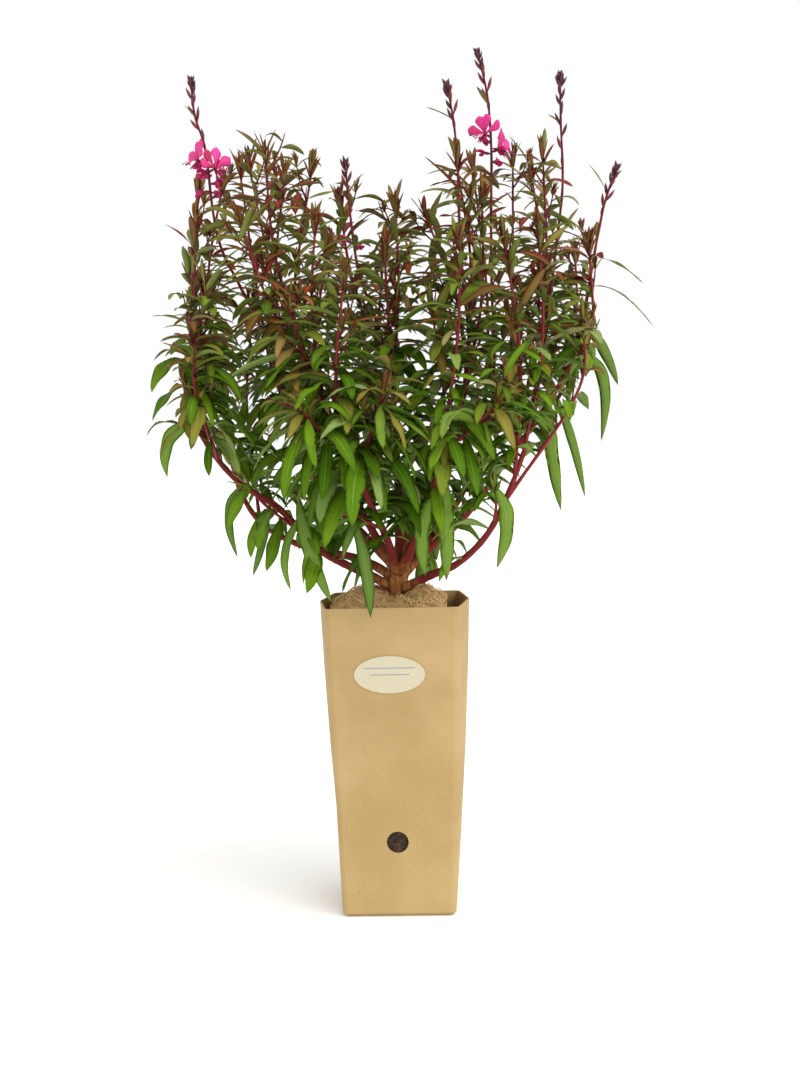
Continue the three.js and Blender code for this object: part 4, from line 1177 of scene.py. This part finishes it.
class GAURA_OT_coir_mat(bpy.types.Operator):
    """Shape the felted coir mat and lay its loose fibres"""

    bl_idname = "gaura.coir_mat"
    bl_label = "Coir mat"

    def execute(self, context):
        settings = context.scene.gaura_pot
        self.add_felt(finish_of("coir", settings))
        fibres = Piece([finish_of("fibre", settings)])
        rng = random.Random(SEEDS["fibres"])
        for _ in range(settings.fibres):
            self.add_fibre(fibres, rng)
        fibres.build("coir_fibres")
        return {"FINISHED"}

    def add_felt(self, material):
        points = []
        for ring in range(FELT_RINGS + 1):
            share = 1 - ring / (FELT_RINGS + 1)
            for n in range(FELT_SPOKES):
                angle = n / FELT_SPOKES * 2 * math.pi
                c, s = math.cos(angle), math.sin(angle)
                reach = MAT_HALF * share / (abs(c) ** 5 + abs(s) ** 5) ** 0.2
                x, y = min(MAT_SHIFT + c * reach, MAT_CUT), s * reach
                points.append((x, y, mat_height(x, y) - (2.5 if ring == 0 else 0)))
        foot = [(x * 0.99, y * 0.99, MAT_EDGE - 9) for x, y, _ in points[:FELT_SPOKES]]
        points = foot + points
        faces = [tuple(range(FELT_SPOKES - 1, -1, -1)),
                 tuple(range((FELT_RINGS + 1) * FELT_SPOKES, (FELT_RINGS + 2) * FELT_SPOKES))]
        for ring in range(FELT_RINGS + 1):
            for n in range(FELT_SPOKES):
                a, b = ring * FELT_SPOKES + n, ring * FELT_SPOKES + (n + 1) % FELT_SPOKES
                faces.append((a, b, b + FELT_SPOKES, a + FELT_SPOKES))
        felt = Piece([material])
        felt.add(points, faces, (0.5, 0.5, 0.5, 0.5), 0)
        felt.build("coir_felt", ["coir_mat"])

    def add_fibre(self, fibres, rng):
        x = rng.uniform(MAT_SHIFT - MAT_HALF + 2, MAT_CUT - 1)
        y = rng.uniform(-MAT_HALF + 2, MAT_HALF - 2)
        angle = rng.random() * FULL_TURN
        bendy = rng.uniform(-0.5, 0.5)
        length = rng.uniform(8, 28)
        lift = rng.uniform(0.1, 1.6) if rng.random() < 0.9 else rng.uniform(2, 5)
        marks = []
        for i in range(7):
            x += math.cos(angle) * length / 7
            y += math.sin(angle) * length / 7
            angle += bendy + rng.uniform(-0.15, 0.15)
            x = min(max(x, MAT_SHIFT - MAT_HALF), MAT_CUT)
            y = min(max(y, -MAT_HALF), MAT_HALF)
            arch = lift * math.sin(i / 6 * math.pi)
            marks.append((x, y + 0.01 * i, mat_height(x, y) + 0.1 + arch + 0.05 * i))
        add_tube(fibres, marks, [rng.uniform(0.2, 0.5)] * 7, 3,
                 (0.5, 0.5, 0.5, rng.random()), 0)


class GAURA_OT_old_wood(bpy.types.Operator):
    """Shape the woody crown and its lower branches"""

    bl_idname = "gaura.old_wood"
    bl_label = "Old wood"

    def execute(self, context):
        wood = Piece([finish_of("bark", context.scene.gaura_plant)])
        rng = random.Random(SEEDS["old_wood"])
        trunk = Curve(CROWN)
        places = [i / TRUNK_STEPS for i in range(TRUNK_STEPS + 1)]
        widths = [10.4 - 2.4 * t + 0.9 * math.sin(t * 17) for t in places]
        add_tube(wood, [trunk.at(t) for t in places], widths, 28,
                 [(t, 0.5, 0.0, 0.5) for t in places], 0, self.gnarled)
        for curve in plant().arms.values():
            count = int(curve.length() / 4)
            places = [i / count for i in range(count + 1)]
            widths = [mix(ARM_RADIUS, t) * (1 + 0.3 * (1 - t) ** 5 + 0.06 * rng.uniform(-1, 1))
                      for t in places]
            add_tube(wood, [curve.at(t) for t in places], widths, 12,
                     [(t, 0.5, min(1.0, 0.15 + t * 2.6), rng.random()) for t in places], 0)
        wood.build("crown_and_branches", ["woody_crown"])
        return {"FINISHED"}

    def gnarled(self, t, angles):
        return (1 + 0.10 * np.sin(3 * angles + 7 * t) + 0.06 * np.sin(7 * angles - 11 * t)
                + 0.04 * np.sin(13 * angles + 23 * t))


class GAURA_OT_shoots(bpy.types.Operator):
    """Grow the leafy shoots and the low sprays"""

    bl_idname = "gaura.shoots"
    bl_label = "Leafy shoots"

    def execute(self, context):
        settings = context.scene.gaura_plant
        materials = [finish_of("stem", settings), finish_of("leaf", settings)]
        for number, (name, stem) in enumerate(plant().stems.items()):
            if stem["kind"] == "wand":
                continue
            rng = random.Random(SEEDS["shoots"] + number)
            piece = Piece(materials)
            add_stem(piece, stem, rng)
            add_planned_leaves(piece, stem, rng)
            if stem["kind"] != "spray":
                add_extra_leaves(piece, stem["curve"], KINDS[stem["kind"]], rng,
                                 settings.extra_leaves)
                for n in range(settings.twigs):
                    place = 0.15 + 0.8 * (n + rng.random()) / settings.twigs
                    add_twig(piece, stem, place, rng, 34 if stem["kind"] == "tall" else 28)
            tip = stem["curve"].at(0.985)
            add_tuft(piece, tip, stem["curve"].tangent(1), 22, rng)
            piece.build("leafy_" + name, [name])
        return {"FINISHED"}


class GAURA_OT_low_leaves(bpy.types.Operator):
    """Hang leaves from the lower branches"""

    bl_idname = "gaura.low_leaves"
    bl_label = "Low leaves"

    def execute(self, context):
        settings = context.scene.gaura_plant
        piece = Piece([finish_of("stem", settings), finish_of("leaf", settings)])
        rng = random.Random(SEEDS["low_leaves"])
        for curve in plant().arms.values():
            reach = abs(curve.at(0.8)[0])
            count = int(settings.low_leaves * curve.length() / 200 * (1 - reach / 220))
            add_extra_leaves(piece, curve, LOW_LEAVES, rng, count, 0.25, 1.0)
        piece.build("low_leaves")
        return {"FINISHED"}


class GAURA_OT_wands(bpy.types.Operator):
    """Grow the flowering wands and their buds"""

    bl_idname = "gaura.wands"
    bl_label = "Flowering wands"

    def execute(self, context):
        settings = context.scene.gaura_plant
        materials = [finish_of(kind, settings) for kind in ("stem", "leaf", "bud", "petal")]
        for number, (name, (start, count)) in enumerate(SPIKES.items()):
            stem = plant().stems[name]
            rng = random.Random(SEEDS["wands"] + number)
            piece = Piece(materials)
            add_stem(piece, stem, rng)
            add_planned_leaves(piece, stem, rng)
            self.add_spike(piece, stem["curve"], start, count, rng)
            self.add_crown(piece, stem["curve"], WAND_CROWNS.get(name, 1.0), rng)
            for n, place in enumerate(HALF_OPEN.get(name, ())):
                self.add_half_open(piece, stem["curve"], place, n, rng)
            piece.build("flowering_" + name, [name])
        return {"FINISHED"}

    def outward(self, curve, place, turn, lean):
        forward = curve.tangent(place)
        east, north = square_to(forward)
        out = around(east, north, turn)
        return unit(plus(out, forward, lean))

    def add_spike(self, piece, curve, start, count, rng):
        """Slender buds that stand off the wand, fewer and longer at its foot."""
        for n in range(count):
            share = math.sqrt((n + 0.5) / count)
            place = min(start + (1 - start) * share, 0.985)
            direction = self.outward(curve, place, n * GOLDEN_ANGLE, 1.9 + share)
            length = (18 - 8 * share) * rng.uniform(0.85, 1.1)
            paint = (0.25 * rng.random(), rng.random() * (1 - 0.8 * share))
            neck = plus(curve.at(place), direction, 3 * (1 - share))
            add_tube(piece, [plus(curve.at(place), direction, k) for k in (0, 1.2, 2.4, 3.6)],
                     [0.5, 0.45, 0.45, 0.4], 5, (0.5, 0.5, 0.9, 0.3), 0)
            add_bud(piece, neck, direction, length, 1.65 - 0.3 * share, paint, 2)
            if n % 3 == 0:
                bract = make_leaf(curve.at(place), direction, 9, 1.6, 0.1, 0)
                add_leaf(piece, bract, rng, 1.0)

    def add_crown(self, piece, curve, stout, rng):
        """The cup of pointed dark buds at the wand's tip."""
        tip = curve.at(1)
        for n in range(TIP_BUDS):
            direction = self.outward(curve, 1, n * GOLDEN_ANGLE, 1.3 + 0.18 * n)
            root = plus(tip, curve.tangent(1), stout * (-8 + 0.5 * n))
            add_bud(piece, root, direction, stout * (9 - 0.28 * n), math.sqrt(stout),
                    (0.03, 0.12 * rng.random()), 2, 5)

    def add_half_open(self, piece, curve, place, n, rng):
        """A flower just before or after it opens: a dark calyx with folded petals."""
        direction = self.outward(curve, place, n * GOLDEN_ANGLE - 0.6, 0.5 * rng.uniform(-1, 1.6))
        root = curve.at(place)
        add_bud(piece, root, direction, rng.uniform(8, 12), 1.5, (0.3, rng.random()), 2)
        cup = plus(root, direction, 6)
        east, north = square_to(direction)
        for k in range(4):
            turn = 1.57 * k + rng.random()
            out = around(east, north, turn)
            first = unit(plus(direction, out, rng.uniform(0.1, 0.7)))
            long = rng.uniform(6, 10)
            path = (cup, plus(cup, first, long * 0.5), plus(plus(cup, first, long), UP, -1.5))
            add_blade(piece, path, unit(cross(first, out)), folded_outline, 0.5,
                      (rng.random() * 6, 1.2, 0.2), 0.25, (0.25, rng.uniform(0.7, 1)), 3, 6, 4)


class GAURA_OT_blooms(bpy.types.Operator):
    """Open the pink blooms"""

    bl_idname = "gaura.blooms"
    bl_label = "Blooms"

    def execute(self, context):
        settings = context.scene.gaura_plant
        materials = [finish_of("petal", settings), finish_of("bud", settings)]
        for number, (name, (wand, place, facing, turn)) in enumerate(BLOOMS.items()):
            rng = random.Random(SEEDS["blooms"] + number)
            curve = plant().stems[wand]["curve"]
            piece = Piece(materials)
            self.add_bloom(piece, curve, place, unit(facing), turn, rng)
            piece.build("open_" + name, [name])
        return {"FINISHED"}

    def add_bloom(self, piece, curve, place, axis, turn, rng):
        centre = curve.at(place)
        clear = mix(KINDS["wand"]["radius"], place) + 1.0
        foot, throat = plus(centre, axis, clear - 1.2), plus(centre, axis, clear + 9)
        marks = [plus(foot, plus(throat, foot, -1), i / 6) for i in range(7)]
        add_tube(piece, marks, [0.8, 1.2, 1.3, 1.0, 1.0, 1.3, 1.8], 8, (0.3, 0.5, 0.2, 0.7), 1)
        level = unit(cross(axis, UP))
        rise = unit(cross(level, axis))
        for n in range(PETALS):
            angle = -1.2 + n * 0.8 + 0.1 * turn + rng.uniform(-0.08, 0.08)
            out = around(rise, level, angle)
            side = around(level, rise, -angle)
            first = unit(plus(out, axis, rng.uniform(0.15, 0.6)))
            root = plus(throat, axis, -2)
            path = (root, plus(plus(root, first, 11), axis, 1.5),
                    plus(plus(root, first, rng.uniform(18, 20.5)), axis, rng.uniform(-4, 1)))
            add_blade(piece, path, side, petal_outline, 0.3,
                      (rng.random() * 6, 1.2, 0.16), 0.25, (0.5, rng.random()), 0, 12, 8)
        for n in range(SEPALS):
            down = plus(plus(axis, rise, -1.1 - 0.3 * rng.random()), level, 0.5 * (n - 1.5))
            root = plus(throat, axis, -3)
            path = (root, plus(root, unit(down), 6), plus(plus(root, unit(down), 10), rise, -3))
            add_blade(piece, path, level, sepal_outline, 0.3, (0.0, 1.0, 0.1), 0.25, (0.5, 0.9),
                      0, 6, 2)
        for n in range(STAMENS):
            spread = (n - 3.5) * 0.16 + rng.uniform(-0.04, 0.04)
            drop = plus(plus(axis, rise, -0.55 - 0.25 * rng.random()), level, spread)
            root = plus(throat, axis, -1.5)
            reach = rng.uniform(11, 15)
            path = (root, plus(root, axis, reach * 0.45), plus(root, unit(drop), reach))
            marks = [bent(path, i / 6) for i in range(7)]
            add_tube(piece, marks, [0.28] * 7, 4, (0.4, 0.5, 0.9, 0.3), 1)
            anther = unit(plus(level, rise, rng.uniform(-0.6, 0.6)))
            ends = [plus(marks[-1], anther, k) for k in (-1.4, -0.7, 0, 0.7, 1.4)]
            add_tube(piece, ends, [0.15, 0.5, 0.6, 0.5, 0.15], 5, (0.9, 0.5, 0.0, 0.2), 1)


def sepal_outline(t):
    return 1.5 * np.sin(np.pi * np.clip(t, 0, 1)) ** 0.8 + 0.5 * (1 - t)


def petal_outline(t):
    return 4.9 * np.sin(np.pi * np.clip(t, 0, 1) ** 2.1 * 0.97) ** 0.7 + 0.6 * (1 - t)


def folded_outline(t):
    return 2.6 * np.sin(np.pi * np.clip(t, 0, 1) ** 1.3 * 0.97) ** 0.7 + 0.5 * (1 - t)


class GAURA_OT_stage(bpy.types.Operator):
    """Set the floor, the light and the camera"""

    bl_idname = "gaura.stage"
    bl_label = "Stage"

    def execute(self, context):
        settings = context.scene.gaura_stage
        self.lay_floor(settings)
        self.set_light(context, settings)
        self.set_camera(context, settings)
        context.scene.view_settings.view_transform = "Standard"
        return {"FINISHED"}

    def lay_floor(self, settings):
        shader = Shader("floor", 0.95)
        tone = shader.noise(3.0, 1.0)
        shader.colour(shader.blend(shader.ramp(tone, 0.3, 0.7, 0.0, 0.05),
                                   settings.floor, (0.8, 0.8, 0.8, 1.0)))
        shader.surface.inputs["Specular IOR Level"].default_value = 0.1
        mesh = bpy.data.meshes.new("floor")
        turns = [n / FLOOR_CORNERS * 2 * math.pi for n in range(FLOOR_CORNERS)]
        rim = [(FLOOR_RADIUS * math.cos(turn), FLOOR_RADIUS * math.sin(turn), -FLOOR_DROP)
               for turn in turns]
        mesh.from_pydata(rim, [], [tuple(range(FLOOR_CORNERS))])
        mesh.materials.append(shader.material)
        floor = bpy.data.objects.new("floor", mesh)
        bpy.context.scene.collection.objects.link(floor)

    def set_light(self, context, settings):
        world = bpy.data.worlds.new("studio")
        world.use_nodes = True
        world.node_tree.nodes["Background"].inputs["Color"].default_value = (1, 1, 1, 1)
        world.node_tree.nodes["Background"].inputs["Strength"].default_value = settings.light
        context.scene.world = world
        sun = bpy.data.lights.new("sun", "SUN")
        sun.energy = settings.sun
        sun.angle = SUN_SOFTNESS
        holder = bpy.data.objects.new("sun", sun)
        holder.rotation_euler = Vector(SUN_DIRECTION).to_track_quat("-Z", "Y").to_euler()
        context.scene.collection.objects.link(holder)

    def set_camera(self, context, settings):
        turn, pitch, roll = (math.radians(v) for v in CAMERA_ANGLES)
        ahead = Vector((-math.sin(turn), math.cos(turn), 0))
        right = Vector((math.cos(turn), math.sin(turn), 0))
        up = Vector(UP)
        view = ahead * math.cos(pitch) - up * math.sin(pitch)
        down = -ahead * math.sin(pitch) - up * math.cos(pitch)
        level = right * math.cos(roll) + down * math.sin(roll)
        drop = down * math.cos(roll) - right * math.sin(roll)
        camera = bpy.data.cameras.new("camera")
        camera.lens = settings.lens
        camera.sensor_width = CAMERA_SENSOR
        camera.clip_end = CAMERA_REACH
        holder = bpy.data.objects.new("camera", camera)
        place = right * CAMERA_SHIFT - ahead * settings.distance + Vector((0, 0, settings.height))
        axes = Matrix((level, -drop, -view)).transposed().to_4x4()
        holder.matrix_world = Matrix.Translation(place) @ axes
        context.scene.collection.objects.link(holder)
        context.scene.camera = holder


class GAURA_PT_panel(bpy.types.Panel):
    """Buttons and settings for the potted gaura"""

    bl_idname = "GAURA_PT_panel"
    bl_label = "Potted Gaura"
    bl_space_type = "VIEW_3D"
    bl_region_type = "UI"
    bl_category = "Gaura"

    def draw(self, context):
        for operator in OPERATORS:
            self.layout.operator(operator.bl_idname)
        for group in (context.scene.gaura_plant, context.scene.gaura_pot,
                      context.scene.gaura_stage):
            for name in group.__annotations__:
                self.layout.prop(group, name)


OPERATORS = (GAURA_OT_pot, GAURA_OT_compost, GAURA_OT_coir_mat, GAURA_OT_old_wood,
             GAURA_OT_low_leaves, GAURA_OT_shoots, GAURA_OT_wands, GAURA_OT_blooms,
             GAURA_OT_stage)
GROUPS = {"gaura_plant": GauraPlantSettings, "gaura_pot": GauraPotSettings,
          "gaura_stage": GauraStageSettings}


def register():
    for cls in (*GROUPS.values(), *OPERATORS, GAURA_PT_panel):
        bpy.utils.register_class(cls)
    for name, cls in GROUPS.items():
        setattr(bpy.types.Scene, name, bpy.props.PointerProperty(type=cls))


def unregister():
    for name in GROUPS:
        delattr(bpy.types.Scene, name)
    for cls in reversed((*GROUPS.values(), *OPERATORS, GAURA_PT_panel)):
        bpy.utils.unregister_class(cls)


def main():
    register()
    bpy.ops.gaura.pot()
    bpy.ops.gaura.compost()
    bpy.ops.gaura.coir_mat()
    bpy.ops.gaura.old_wood()
    bpy.ops.gaura.low_leaves()
    bpy.ops.gaura.shoots()
    bpy.ops.gaura.wands()
    bpy.ops.gaura.blooms()
    bpy.ops.gaura.stage()


if __name__ == "__main__":
    main()
